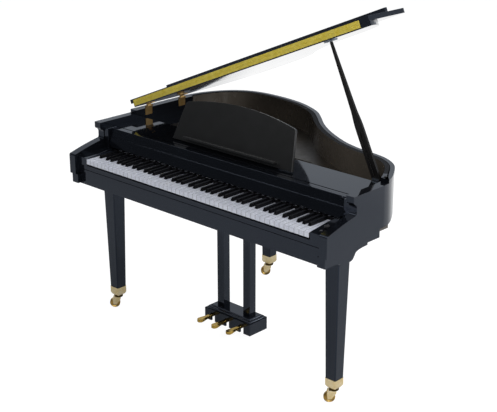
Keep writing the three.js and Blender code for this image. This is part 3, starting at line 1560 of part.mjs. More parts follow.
// Speakers: turned baskets with the cone open downwards over the slots
const speakerProfile = [
  [0, SPEAKER_CAP_Z],
  [SPEAKER_CAP_R, SPEAKER_CAP_Z],
  [SPEAKER_R - SPEAKER_FLANGE, 0],
  [SPEAKER_R, 0],
  [SPEAKER_R, SPEAKER_FLANGE_THICK],
  [SPEAKER_R - SPEAKER_FLANGE, SPEAKER_FLANGE_THICK],
  [SPEAKER_MAGNET_R, SPEAKER_BASKET_Z],
  [SPEAKER_MAGNET_R, SPEAKER_DEPTH],
  [0, SPEAKER_DEPTH],
];
["left", "right"].forEach((name, i) => {
  const geometry = new THREE.LatheGeometry(
    speakerProfile.map(([r, z]) => new THREE.Vector2(r, z)),
    2 * SHAFT_SIDES,
  );
  geometry.rotateX(Math.PI / 2);
  add("speaker_" + name, geometry.translate(SPEAKER_X[i], SPEAKER_Y, BOTTOM_BOARD_TOP_Z + SEAT_GAP), plastic);
});

// Main board with its larger parts
const boardParts = BOARD_PART_SHARES.map(([x, y, length, depth, height]) =>
  block(
    BOARD_LEFT_X + x * BOARD_LENGTH,
    BOARD_LEFT_X + (x + length) * BOARD_LENGTH,
    BOARD_FRONT_Y + y * BOARD_DEPTH,
    BOARD_FRONT_Y + (y + depth) * BOARD_DEPTH,
    BED_TOP_Z + BOARD_THICK / 2,
    BED_TOP_Z + BOARD_THICK + height * BOARD_PART_HEIGHT,
  ),
);
add(
  "main_board",
  union(
    block(
      BOARD_LEFT_X,
      BOARD_LEFT_X + BOARD_LENGTH,
      BOARD_FRONT_Y,
      BOARD_FRONT_Y + BOARD_DEPTH,
      BED_TOP_Z,
      BED_TOP_Z + BOARD_THICK,
    ),
    ...boardParts,
  ),
  board,
);

export default piano;
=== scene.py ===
import json
import math

import bmesh
import bpy
from mathutils import Matrix, Vector


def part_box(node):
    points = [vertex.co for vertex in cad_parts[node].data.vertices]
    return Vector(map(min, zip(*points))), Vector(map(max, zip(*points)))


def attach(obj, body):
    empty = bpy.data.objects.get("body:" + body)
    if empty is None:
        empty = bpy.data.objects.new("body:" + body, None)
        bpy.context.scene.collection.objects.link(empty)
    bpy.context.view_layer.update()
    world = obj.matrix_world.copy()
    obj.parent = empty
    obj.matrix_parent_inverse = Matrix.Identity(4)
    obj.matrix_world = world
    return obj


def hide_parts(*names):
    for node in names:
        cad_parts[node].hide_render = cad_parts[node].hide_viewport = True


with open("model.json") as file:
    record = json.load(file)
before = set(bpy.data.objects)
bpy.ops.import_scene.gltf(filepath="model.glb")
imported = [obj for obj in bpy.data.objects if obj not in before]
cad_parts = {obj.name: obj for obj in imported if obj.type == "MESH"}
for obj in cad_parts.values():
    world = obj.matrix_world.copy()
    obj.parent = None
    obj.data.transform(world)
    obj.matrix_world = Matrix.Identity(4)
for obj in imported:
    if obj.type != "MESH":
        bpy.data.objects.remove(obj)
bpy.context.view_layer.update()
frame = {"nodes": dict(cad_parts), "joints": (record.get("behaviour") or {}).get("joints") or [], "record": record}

# Camera: stands in front of the treble end and looks down on the keys,
# so far off that the case keeps nearly parallel edges.
IMAGE_WIDTH = 497
FOCAL_PIXELS = 1168.6
SENSOR = 36.0
CAMERA_PLACE = (3.0864, -3.3983, 2.2240)
CAMERA_PITCH = 69.988
CAMERA_TURN = 43.372
camera_data = bpy.data.cameras.new("camera")
camera_data.sensor_width = SENSOR
camera_data.lens = FOCAL_PIXELS * SENSOR / IMAGE_WIDTH
camera = bpy.data.objects.new("camera", camera_data)
camera.location = CAMERA_PLACE
camera.rotation_euler = (math.radians(CAMERA_PITCH), 0.0, math.radians(CAMERA_TURN))
bpy.context.scene.collection.objects.link(camera)
bpy.context.scene.camera = camera
bpy.context.scene.view_settings.view_transform = "Standard"


# Studio: a white floor that keeps a faint shadow, a pale surround and five soft boxes.
# The lacquer mirrors the surround, which is brighter behind the object than in front of it.
def linear(code):
    """A colour written as six sRGB digits, in the shader's linear numbers."""
    parts = [int(code[i : i + 2], 16) / 255 for i in (0, 2, 4)]
    return [p / 12.92 if p <= 0.04045 else ((p + 0.055) / 1.055) ** 2.4 for p in parts] + [1.0]


def node_in(tree, kind, links=(), **settings):
    """Adds one shader node, sets its sockets or properties by name, and links its inputs."""
    node = tree.nodes.new(kind)
    for name, value in settings.items():
        if hasattr(node, name):
            setattr(node, name, value)
        else:
            node.inputs[name.replace("_", " ")].default_value = value
    for socket, source in links:
        tree.links.new(source, node.inputs[socket])
    return node


SURROUND_COLOUR = "E6EDF6"
FRONT_LIGHT = 0.075
BACK_LIGHT = 0.66
FRONT_HEADING = -0.8
BACK_HEADING = 0.5
WHITE = (1.0, 1.0, 1.0, 1.0)
world = bpy.data.worlds.new("surround")
bpy.context.scene.world = world
world.use_nodes = True
tree = world.node_tree
tree.nodes.clear()
path = node_in(tree, "ShaderNodeLightPath")
sphere = node_in(tree, "ShaderNodeTexCoord")
heading = node_in(tree, "ShaderNodeSeparateXYZ", [(0, sphere.outputs["Generated"])])
strength = node_in(
    tree,
    "ShaderNodeMapRange",
    [("Value", heading.outputs["Y"])],
    interpolation_type="SMOOTHSTEP",
    From_Min=FRONT_HEADING,
    From_Max=BACK_HEADING,
    To_Min=FRONT_LIGHT,
    To_Max=BACK_LIGHT,
)
surround = node_in(
    tree,
    "ShaderNodeBackground",
    [("Strength", strength.outputs[0])],
    Color=linear(SURROUND_COLOUR),
)
backdrop = node_in(tree, "ShaderNodeBackground", Color=WHITE)
picked = node_in(
    tree,
    "ShaderNodeMixShader",
    [(0, path.outputs["Is Camera Ray"]), (1, surround.outputs[0]), (2, backdrop.outputs[0])],
)
node_in(tree, "ShaderNodeOutputWorld", [("Surface", picked.outputs[0])])

FLOOR_HALF = 14.0
FLOOR_COLOUR = "F4F4F4"
MIRRORED_FLOOR_COLOUR = "DADADA"
# The camera sees mostly this share of glow, which lifts the floor to white.
FLOOR_GLOW = 0.78
FLOOR_GLOW_STRENGTH = 1.2
# The floor mirrored in the lacquer starts to glow this far behind the object.
MIRRORED_GLOW_NEAR = 1.4
MIRRORED_GLOW_FAR = 2.6
floor_material = bpy.data.materials.new("floor_white")
floor_material.use_nodes = True
tree = floor_material.node_tree
tree.nodes.clear()
path = node_in(tree, "ShaderNodeLightPath")
tone = node_in(
    tree,
    "ShaderNodeMixRGB",
    [("Fac", path.outputs["Is Glossy Ray"])],
    Color1=linear(FLOOR_COLOUR),
    Color2=linear(MIRRORED_FLOOR_COLOUR),
)
paint = node_in(tree, "ShaderNodeBsdfDiffuse", [("Color", tone.outputs["Color"])])
glow = node_in(tree, "ShaderNodeEmission", Color=WHITE, Strength=FLOOR_GLOW_STRENGTH)
seen = node_in(tree, "ShaderNodeMath", [(0, path.outputs["Is Camera Ray"])], operation="MULTIPLY")
seen.inputs[1].default_value = FLOOR_GLOW
plan = node_in(tree, "ShaderNodeTexCoord")
away = node_in(tree, "ShaderNodeSeparateXYZ", [(0, plan.outputs["Object"])])
far = node_in(
    tree,
    "ShaderNodeMapRange",
    [("Value", away.outputs["Y"])],
    From_Min=MIRRORED_GLOW_NEAR,
    From_Max=MIRRORED_GLOW_FAR,
)
mirrored = node_in(
    tree,
    "ShaderNodeMath",
    [(0, path.outputs["Is Glossy Ray"]), (1, far.outputs[0])],
    operation="MULTIPLY",
)
share = node_in(
    tree,
    "ShaderNodeMath",
    [(0, seen.outputs[0]), (1, mirrored.outputs[0])],
    operation="MAXIMUM",
)
mixed = node_in(
    tree,
    "ShaderNodeMixShader",
    [(0, share.outputs[0]), (1, paint.outputs[0]), (2, glow.outputs[0])],
)
node_in(tree, "ShaderNodeOutputMaterial", [("Surface", mixed.outputs[0])])
shape = bmesh.new()
bmesh.ops.create_grid(shape, x_segments=1, y_segments=1, size=FLOOR_HALF)
floor_mesh = bpy.data.meshes.new("floor")
shape.to_mesh(floor_mesh)
shape.free()
floor_mesh.materials.append(floor_material)
floor = bpy.data.objects.new("floor", floor_mesh)
bpy.context.scene.collection.objects.link(floor)

# Each soft box: its place, what it is aimed at, its width and height, and its watts.
SOFT_BOXES = (
    ((-2.2, -2.6, 3.4), (0.0, 0.0, 0.7), 2.4, 1.6, 28.0),
    ((3.6, 0.6, 2.3), (0.2, 0.0, 0.7), 1.8, 1.8, 55.0),
    ((0.4, 2.6, 4.2), (0.0, 0.0, 0.8), 2.6, 1.8, 60.0),
    ((1.6, -3.4, 3.6), (0.0, 0.1, 0.8), 1.6, 1.6, 42.0),
    ((3.0, -1.9, 2.0), (-0.2, 0.35, 0.85), 1.2, 1.0, 24.0),
)
for number, (place, aim, width, height, watts) in enumerate(SOFT_BOXES):
    lamp = bpy.data.lights.new("soft_box_%d" % number, "AREA")
    lamp.shape = "RECTANGLE"
    lamp.size = width
    lamp.size_y = height
    lamp.energy = watts
    box = bpy.data.objects.new(lamp.name, lamp)
    box.location = place
    box.rotation_euler = (Vector(aim) - Vector(place)).to_track_quat("-Z", "Y").to_euler()
    bpy.context.scene.collection.objects.link(box)


# Case: fibreboard panels and a laminated bent wall, finished in black polyester lacquer that is
# sprayed thick, sanded and buffed. Every edge is eased first, and felt lines the wall's cap.
MM = 0.001
EVEN = (1.0, 1.0, 1.0)
NOISE_SPAN = (0.3, 0.7)
NOISE_DETAIL = 3.0


def finish(name, colours, mottle, roughness, cloud, relief=None, stretch=EVEN, **sockets):
    """A material mottled between two colours, with cloudy roughness and a fine relief.
    mottle and cloud are real sizes, and relief is a real size and height, all in metres."""
    material = bpy.data.materials.new(name)
    material.use_nodes = True
    tree = material.node_tree
    shader = tree.nodes["Principled BSDF"]
    on_piece = node_in(tree, "ShaderNodeTexCoord").outputs["Object"]
    place = node_in(tree, "ShaderNodeMapping", [("Vector", on_piece)], Scale=stretch).outputs[0]
    patches = node_in(
        tree, "ShaderNodeTexNoise", [("Vector", place)], Scale=1.0 / mottle, Detail=NOISE_DETAIL
    )
    ramp = node_in(tree, "ShaderNodeValToRGB", [("Fac", patches.outputs["Fac"])])
    for stop, position, code in zip(ramp.color_ramp.elements, NOISE_SPAN, colours):
        stop.position = position
        stop.color = linear(code)
    tree.links.new(ramp.outputs["Color"], shader.inputs["Base Color"])
    clouds = node_in(tree, "ShaderNodeTexNoise", [("Vector", place)], Scale=1.0 / cloud)
    gloss = node_in(
        tree,
        "ShaderNodeMapRange",
        [("Value", clouds.outputs["Fac"])],
        From_Min=NOISE_SPAN[0],
        From_Max=NOISE_SPAN[1],
        To_Min=roughness[0],
        To_Max=roughness[1],
    )
    tree.links.new(gloss.outputs[0], shader.inputs["Roughness"])
    if relief:
        size, height = relief
        grain = node_in(tree, "ShaderNodeTexNoise", [("Vector", place)], Scale=1.0 / size)
        bump = node_in(tree, "ShaderNodeBump", [("Height", grain.outputs["Fac"])], Distance=height)
        tree.links.new(bump.outputs["Normal"], shader.inputs["Normal"])
    for socket, value in sockets.items():
        shader.inputs[socket.replace("_", " ")].default_value = value
    return material


# Polyester lacquer buffed to a mirror, with the faintest orange peel. Its black leans a little blue and its
# reflections are tinted blue: painted reflection of a bluish studio.
black_lacquer = finish(
    "black_polyester_lacquer_buffed",
    ("0B0C0F", "101216"),
    mottle=350 * MM,
    roughness=(0.035, 0.075),
    cloud=120 * MM,
    relief=(4 * MM, 0.003 * MM),
    IOR=1.52,
    # This blue tint on the reflections is painted reflection.
    Specular_Tint=linear("D2E2FF"),
)
# The same lacquer, painted browner and lighter on the inside of the wall: painted light, standing in for the soft
# light and reflection on that shaded wall. It has a blurred shine.
inner_wall_painted_light = finish(
    "inner_wall_lacquer_painted_light",
    ("544E46", "5A534B"),
    mottle=90 * MM,
    roughness=(0.2, 0.3),
    cloud=50 * MM,
    relief=(2 * MM, 0.008 * MM),
)
# Pressed wool felt: a dull, slightly fuzzy black that mirrors nothing.
rim_felt = finish(
    "felt_black_pressed",
    ("1B1C1E", "2A2B2E"),
    mottle=2 * MM,
    roughness=(0.8, 0.95),
    cloud=2 * MM,
    relief=(1.5 * MM, 0.2 * MM),
    Specular_IOR_Level=0.1,
)

# Points nearer than this are one, and faces that meet flatter than this are one board's face.
WELD = 0.02 * MM
FLAT_ANGLE = math.radians(0.6)
EDGE_ANGLE = math.radians(32)
SMOOTH_ANGLE = math.radians(40)


def body_of_node(node):
    """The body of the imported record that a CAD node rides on."""
    for body, nodes in frame["record"]["behaviour"]["bodies"].items():
        if node in nodes:
            return body


def eased(
    node, width, material, segments=3, least=EDGE_ANGLE, others=(), chosen=None, prepare=None
):
    """A finished copy of a CAD node with its sharp edges rounded to width, in metres.
    Where chosen(middle, normal) of a face is true, it gets the first of the other materials.
    prepare(shape) may divide faces first, and gives those that take the last of the others."""
    shape = bmesh.new()
    shape.from_mesh(frame["nodes"][node].data)
    bmesh.ops.remove_doubles(shape, verts=shape.verts[:], dist=WELD)
    bmesh.ops.dissolve_limit(
        shape,
        angle_limit=FLAT_ANGLE,
        use_dissolve_boundaries=False,
        verts=shape.verts[:],
        edges=shape.edges[:],
    )
    shape.normal_update()
    kind = shape.faces.layers.int.new("kind")
    for face in prepare(shape) if prepare else ():
        face[kind] = len(others)
    sharp = [e for e in shape.edges if e.is_manifold and e.calc_face_angle(0.0) > least]
    bmesh.ops.bevel(
        shape,
        geom=sharp,
        offset=width,
        offset_type="OFFSET",
        affect="EDGES",
        segments=segments,
        profile=0.5,
        material=-1,
        clamp_overlap=True,
    )
    shape.normal_update()
    for face in shape.faces:
        second = chosen and chosen(face.calc_center_median(), face.normal)
        face.material_index = face[kind] or int(bool(second))
    mesh = bpy.data.meshes.new(node + "_finished")
    shape.to_mesh(mesh)
    shape.free()
    mesh.polygons.foreach_set("use_smooth", [True] * len(mesh.polygons))
    mesh.set_sharp_from_angle(angle=SMOOTH_ANGLE)
    for coat in (material, *others):
        mesh.materials.append(coat)
    piece = bpy.data.objects.new(node + "_finished", mesh)
    bpy.context.scene.collection.objects.link(piece)
    weighted = piece.modifiers.new("even_shading", "WEIGHTED_NORMAL")
    weighted.keep_sharp = True
    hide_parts(node)
    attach(piece, body_of_node(node))


# The shelf's back edge, and a point inside the wall's curve, tell the inside of the wall.
SHELF_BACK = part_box("top_board")[1].y
WALL_MIDDLE = Vector((-200 * MM, 0.0, 0.0))
LEVEL_NORMAL = 0.5
UPWARD_NORMAL = 0.9
LINING_WIDTH = 20.0 * MM


# These faces take the lighter brown lacquer, which is painted light on the shaded inner wall.
def faces_in(middle, normal):
    """True on the inside of the bent wall, behind the top board."""
    level = abs(normal.z) < LEVEL_NORMAL
    return level and middle.y > SHELF_BACK and (middle - WALL_MIDDLE).xy.dot(normal.xy) < 0


def lined_cap(shape):
    """Divides the cap of the wall along its length, and gives the inner strip for the felt."""
    top = max(v.co.z for v in shape.verts)
    upward = [f for f in shape.faces if f.normal.z > UPWARD_NORMAL]
    cap = [f for f in upward if f.calc_center_median().z > top - MM]
    made = bmesh.ops.inset_region(shape, faces=cap, thickness=LINING_WIDTH, use_even_offset=True)
    shape.normal_update()
    wall = [f for f in shape.faces if faces_in(f.calc_center_median(), f.normal)]
    beside = {f for w in wall for e in w.edges for f in e.link_faces}
    return [f for f in made["faces"] if f in beside]


BOARD_ROUND = 1.8 * MM
THIN_ROUND = 1.2 * MM
eased(
    "rim",
    BOARD_ROUND,
    black_lacquer,
    others=(inner_wall_painted_light, rim_felt),
    chosen=faces_in,
    prepare=lined_cap,
)
for name in ("case_skirt", "top_board"):
    eased(name, BOARD_ROUND, black_lacquer)
for name in ("left_key_block", "right_key_block"):
    eased(name, THIN_ROUND, black_lacquer)


# Boards inside and under the case: fibreboard sprayed in satin black-brown. The bottom board is
# screwed up from below, with low-headed screws along its edges.
def dress(node, material):
    """Gives a CAD node's own mesh a better material."""
    data = frame["nodes"][node].data
    data.materials.clear()
    data.materials.append(material)


# Satin spray over fibreboard: dark brown, broken by the fine nap of the board.
board_paint = finish(
    "fibreboard_sprayed_satin",
    ("3E3933", "443E37"),
    mottle=50 * MM,
    roughness=(0.28, 0.42),
    cloud=30 * MM,
    relief=(1.2 * MM, 0.04 * MM),
)
for name in ("inner_deck", "bottom_board", "key_bed"):
    dress(name, board_paint)

UP = Vector((0.0, 0.0, 1.0))
HEAD_STEPS = 20
# A trim stands this far off the face that carries it.
SEAT = 0.02 * MM
POLE_WELD = 0.001 * MM
# Profiles run from the foot to the top, in shares of the radius and of the height.
HEAD_SHARES = (
    (0.0, 0.0),
    (1.0, 0.0),
    (1.0, 0.35),
    (0.8, 0.85),
    (0.42, 1.0),
    (0.34, 0.3),
    (0.0, 0.3),
)


def finished(name, shape, material, body):
    """Turns a bmesh into a piece of the object that rides on a body."""
    bmesh.ops.recalc_face_normals(shape, faces=shape.faces[:])
    mesh = bpy.data.meshes.new(name)
    shape.to_mesh(mesh)
    shape.free()
    mesh.polygons.foreach_set("use_smooth", [True] * len(mesh.polygons))
    mesh.set_sharp_from_angle(angle=SMOOTH_ANGLE)
    mesh.materials.append(material)
    piece = bpy.data.objects.new(name, mesh)
    bpy.context.scene.collection.objects.link(piece)
    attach(piece, body)


def turned(shape, shares, radius, height, place, along=UP, steps=HEAD_STEPS):
    """Adds a body turned on a lathe, whose profile is in shares of its radius and its height."""
    before = set(shape.verts)
    points = [shape.verts.new((radius * out, 0.0, height * rise)) for out, rise in shares]
    edges = [shape.edges.new(pair) for pair in zip(points, points[1:])]
    bmesh.ops.spin(
        shape,
        geom=points + edges,
        cent=(0.0, 0.0, 0.0),
        axis=UP,
        angle=2 * math.pi,
        steps=steps,
        use_merge=True,
    )
    made = [v for v in shape.verts if v not in before]
    stand = UP.rotation_difference(Vector(along)).to_matrix().to_4x4()
    place_on = Matrix.Translation(Vector(place) + SEAT * Vector(along)) @ stand
    bmesh.ops.transform(shape, matrix=place_on, verts=made)
    bmesh.ops.remove_doubles(shape, verts=made, dist=POLE_WELD)


def screw_heads(name, places, along, radius, height, material, body):
    """Low domed heads with a recess, all facing along."""
    shape = bmesh.new()
    for place in places:
        turned(shape, HEAD_SHARES, radius, height, place, along)
    finished(name, shape, material, body)


# Zinc plate on steel: a pale grey metal, a little blue and a little cloudy.
zinc = finish(
    "steel_zinc_plated",
    ("8E97A2", "A6AFB9"),
    mottle=4 * MM,
    roughness=(0.25, 0.4),
    cloud=3 * MM,
    Metallic=1.0,
)
BOARD_SCREW_RADIUS = 4.0 * MM
BOARD_SCREW_HEIGHT = 1.0 * MM
BOARD_SCREW_INSET = 14.0 * MM
FRONT_SHARES = (0.03, 0.22, 0.41, 0.6, 0.79, 0.97)
SIDE_SHARES = (0.2, 0.42, 0.64, 0.86)
low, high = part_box("bottom_board")
front_places = [
    (low.x + share * (high.x - low.x), low.y + BOARD_SCREW_INSET, low.z) for share in FRONT_SHARES
]
side_places = [
    (low.x + BOARD_SCREW_INSET, low.y + share * (high.y - low.y), low.z) for share in SIDE_SHARES
]
screw_heads(
    "bottom_board_screws",
    front_places + side_places,
    -UP,
    BOARD_SCREW_RADIUS,
    BOARD_SCREW_HEIGHT,
    zinc,
    "case",
)


# Speakers: moulded baskets over the slots of the bottom board, and between them and the board
# a disc of black knitted cloth that is glued down.

# Black moulded plastic: nearly black, with a fine spark texture that scatters the light.
black_plastic = finish(
    "black_plastic_moulded",
    ("18181A", "1F1F22"),
    mottle=10 * MM,
    roughness=(0.4, 0.55),
    cloud=5 * MM,
    relief=(0.8 * MM, 0.03 * MM),
)
# Knitted polyester: matt black, drawn with coarser loops than it has so that they show.
speaker_cloth = finish(
    "cloth_black_knitted",
    ("0C0C0D", "1B1B1D"),
    mottle=1.2 * MM,
    roughness=(0.8, 0.95),
    cloud=2 * MM,
    relief=(1.2 * MM, 0.2 * MM),
)
CLOTH_THICK = 0.2 * MM
CLOTH_STEPS = 48
DISC_SHARES = ((0.0, 0.0), (1.0, 0.0), (1.0, 1.0), (0.0, 1.0))
board_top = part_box("bottom_board")[1].z
for side in ("left", "right"):
    dress("speaker_" + side, black_plastic)
    low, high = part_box("speaker_" + side)
    middle = (low + high) / 2
    shape = bmesh.new()
    turned(
        shape,
        DISC_SHARES,
        (high.x - low.x) / 2,
        CLOTH_THICK,
        (middle.x, middle.y, board_top),
        steps=CLOTH_STEPS,
    )
    finished("speaker_cloth_" + side, shape, speaker_cloth, "case")


# Main board and inlet: a glass laminate board in green solder mask, and a moulded mains inlet
# under the bottom board with three nickel-plated blades pressed into its back.

# Solder mask: a half-gloss green, paler where the copper lies under it.
green_board = finish(
    "glass_laminate_solder_mask",
    ("1B5A35", "24703F"),
    mottle=12 * MM,
    roughness=(0.3, 0.5),
    cloud=6 * MM,
)
# Nickel plate on brass: a bright, slightly warm white metal.
nickel = finish(
    "brass_nickel_plated",
    ("A8ABAE", "BFC2C4"),
    mottle=2 * MM,
    roughness=(0.2, 0.35),
    cloud=1 * MM,
    Metallic=1.0,
)
dress("main_board", green_board)
dress("power_inlet", black_plastic)


def slab(shape, middle, size):
    """Adds a box with a given middle and size."""
    place = Matrix.Translation(middle) @ Matrix.Diagonal((*size, 1.0))
    bmesh.ops.create_cube(shape, size=1.0, matrix=place)


# The earth's blade stands before the inlet's middle, the other two behind it and to its sides.
BLADE_SIZE = (2.0 * MM, 5.0 * MM, 7.0 * MM)
INLET_BACK = 4.0 * MM
EARTH_AWAY = -4.0 * MM
POLE_AWAY = 3.0 * MM
POLE_SIDE = 8.0 * MM
low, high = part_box("power_inlet")
middle = (low + high) / 2
blade_z = high.z - INLET_BACK - SEAT - BLADE_SIZE[2] / 2
shape = bmesh.new()
for side, away in ((0.0, EARTH_AWAY), (-POLE_SIDE, POLE_AWAY), (POLE_SIDE, POLE_AWAY)):
    slab(shape, (middle.x + side, middle.y + away, blade_z), BLADE_SIZE)
finished("inlet_blades", shape, nickel, "case")


# Keys: white keys moulded in acrylic, with their sides painted dark grey as painted shade between the keys,
# and black keys moulded in satin black phenolic, all hung in a moulded frame.
# Their edges are eased so that the fingers slide off them.

# Moulded acrylic: a cool white that lets a little light in under its satin skin.
white_acrylic = finish(
    "white_acrylic_moulded",
    ("C9CBD6", "D6D8E0"),
    mottle=20 * MM,
    roughness=(0.2, 0.3),
    cloud=8 * MM,
    relief=(1.5 * MM, 0.004 * MM),
    Subsurface_Weight=0.08,
    Subsurface_Radius=(2.0 * MM, 2.0 * MM, 1.8 * MM),
)
# Dark grey on the sides of the white keys and the outer part of their rounded edges: painted shade, which draws
# the dark lines between the keys.
key_gap_painted_shade = finish(
    "white_key_sides_painted_shade",
    ("2E2D30", "3A393C"),
    mottle=15 * MM,
    roughness=(0.5, 0.65),
    cloud=10 * MM,
)
# Phenolic rubbed to a satin: black, with one soft light along its top.
black_key = finish(
    "black_phenolic_rubbed",
    ("050507", "08080B"),
    mottle=6 * MM,
    roughness=(0.24, 0.34),
    cloud=4 * MM,
    relief=(0.6 * MM, 0.01 * MM),
    IOR=1.42,
    Specular_IOR_Level=0.25,
)
KEY_ROUND = 0.8 * MM
# Key faces that turn further sideways than this take the painted shade between the keys.
SIDEWAYS_NORMAL = 0.6
OCTAVES = 7
for number in range(1, OCTAVES + 1):
    eased(
        "white_keys_%d" % number,
        KEY_ROUND,
        white_acrylic,
        segments=2,
        others=(key_gap_painted_shade,),
        chosen=lambda middle, normal: abs(normal.x) > SIDEWAYS_NORMAL,
    )
    eased("black_keys_%d" % number, KEY_ROUND, black_key, segments=2)
dress("key_frame", black_plastic)


# Key felt: a woven strip glued to the key frame's back rail, right behind the black keys.
# It is painted shade: a dark sheet in the slot under the key cover, where there is only shade.

# Woven felt: almost black and rough, as the painted shade in that slot.
key_slot_painted_shade = finish(
    "felt_black_painted_shade",
    ("08080A", "111013"),
    mottle=1.5 * MM,
    roughness=(0.85, 0.98),
    cloud=1 * MM,
    relief=(0.8 * MM, 0.2 * MM),
    Specular_IOR_Level=0.1,
)
FELT_DEPTH = 6.0 * MM
FELT_GAP = 1.5 * MM
FELT_SIDE_GAP = 1.0 * MM
white_low, white_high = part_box("white_keys_1")
last_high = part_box("white_keys_%d" % OCTAVES)[1]
black_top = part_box("black_keys_1")[1].z
black_back = max(
    v.co.y for v in frame["nodes"]["black_keys_1"].data.vertices if v.co.z > black_top - FELT_GAP
)
felt_low = Vector(
    (white_low.x + FELT_SIDE_GAP, black_back + FELT_GAP, white_high.z + FELT_GAP / 2)
)
felt_high = Vector(
    (last_high.x - FELT_SIDE_GAP, black_back + FELT_GAP + FELT_DEPTH, black_top - FELT_GAP)
)
shape = bmesh.new()
slab(shape, (felt_low + felt_high) / 2, felt_high - felt_low)
finished("key_slot_painted_shade", shape, key_slot_painted_shade, "case")


# Key cover: two lacquered boards that turn on pins in the key blocks, the front one a narrow lip
# that folds under and carries the pull.
for name in ("key_cover", "key_cover_lip"):
    eased(name, THIN_ROUND, black_lacquer)


# Controls: a moulded volume knob and power button in the right key block. The knob has a printed
# pointer, the button a printed ring.

# Pad print: a flat mid grey that is only just seen on the black.
grey_print = finish(
    "pad_printed_grey",
    ("5C5D60", "68696C"),
    mottle=1 * MM,
    roughness=(0.4, 0.55),
    cloud=1 * MM,
)
CONTROL_ROUND = 0.6 * MM
PRINT_THICK = 0.12 * MM
POINTER_WIDTH = 1.2 * MM
POINTER_START_SHARE = 0.62
POINTER_END_SHARE = 0.92
RING_SHARES = ((0.46, 0.0), (0.62, 0.0), (0.62, 1.0), (0.46, 1.0), (0.46, 0.0))
for name in ("volume_knob", "power_button"):
    eased(name, CONTROL_ROUND, black_plastic, segments=2)
low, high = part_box("volume_knob")
depth = high.y - low.y
pointer_y = low.y + (POINTER_START_SHARE + POINTER_END_SHARE) / 2 * depth
pointer_length = (POINTER_END_SHARE - POINTER_START_SHARE) * depth
shape = bmesh.new()
slab(
    shape,
    ((low.x + high.x) / 2, pointer_y, high.z + SEAT + PRINT_THICK / 2),
    (POINTER_WIDTH, pointer_length, PRINT_THICK),
)
finished("volume_pointer", shape, grey_print, "volume")
low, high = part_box("power_button")
middle = (low + high) / 2
shape = bmesh.new()
turned(shape, RING_SHARES, (high.x - low.x) / 2, PRINT_THICK, (middle.x, middle.y, high.z))
finished("power_ring", shape, grey_print, "power")


# Music desk: a lacquered panel with a ledge, rubbed down so that it doesn't dazzle. It turns on
# pins in the top board, and a stained beech strut holds it up.

# Rubbed lacquer: a neutral black with a wide, soft light.
desk_lacquer = finish(
    "black_lacquer_rubbed_satin",
    ("121212", "141414"),
    mottle=80 * MM,
    roughness=(0.3, 0.33),
    cloud=40 * MM,
    relief=(1.5 * MM, 0.01 * MM),
)
# Stained beech under thin varnish: black, with the upright grain just visible, drawn coarser
# than it is so that it shows.
GRAIN_STRETCH = 0.08
black_beech = finish(
    "beech_stained_black_varnished",
    ("0D0C0C", "191716"),
    mottle=3 * MM,
    roughness=(0.34, 0.48),
    cloud=2 * MM,
    relief=(2 * MM, 0.03 * MM),
    stretch=(1.0, 1.0, GRAIN_STRETCH),
    Specular_IOR_Level=0.22,
)
eased("music_desk", THIN_ROUND, desk_lacquer)
eased("desk_strut", THIN_ROUND, black_beech)


# Legs and casters: tapered lacquered legs, each in a turned brass ferrule. A stem under it carries
# a brass fork with its wheel, held by a riveted axle. A dark brown collar round the stem is painted shade under
# the ferrule.
for name in ("leg_left", "leg_right", "leg_rear"):
    eased(name, BOARD_ROUND, black_lacquer)

# All the brass has slow changes of tone and a slight unevenness, left by the tool or the polish.
BRASS = {"mottle": 20 * MM, "cloud": 6 * MM, "relief": (2 * MM, 0.02 * MM), "Metallic": 1.0}

# Turned brass under clear lacquer: pale warm gold with a clean shine.
caster_brass = finish(
    "brass_turned_lacquered",
    ("F2D89E", "FAE8BE"),
    roughness=(0.14, 0.28),
    **BRASS,
)
# Darker brass on the wheels: painted shade under the ferrule and the fork.
wheel_brass_painted_shade = finish(
    "brass_wheel_painted_shade",
    ("B08F4E", "C9A862"),
    roughness=(0.22, 0.4),
    **BRASS,
)
# Dark brown brass on the collar: painted shade in the band under the ferrule.
collar_brass_painted_shade = finish(
    "brass_collar_painted_shade",
    ("54421F", "6E5A30"),
    roughness=(0.3, 0.45),
    **BRASS,
)
JOINTS = {joint["name"]: joint for joint in frame["joints"]}
BRASS_ROUND = 0.6 * MM
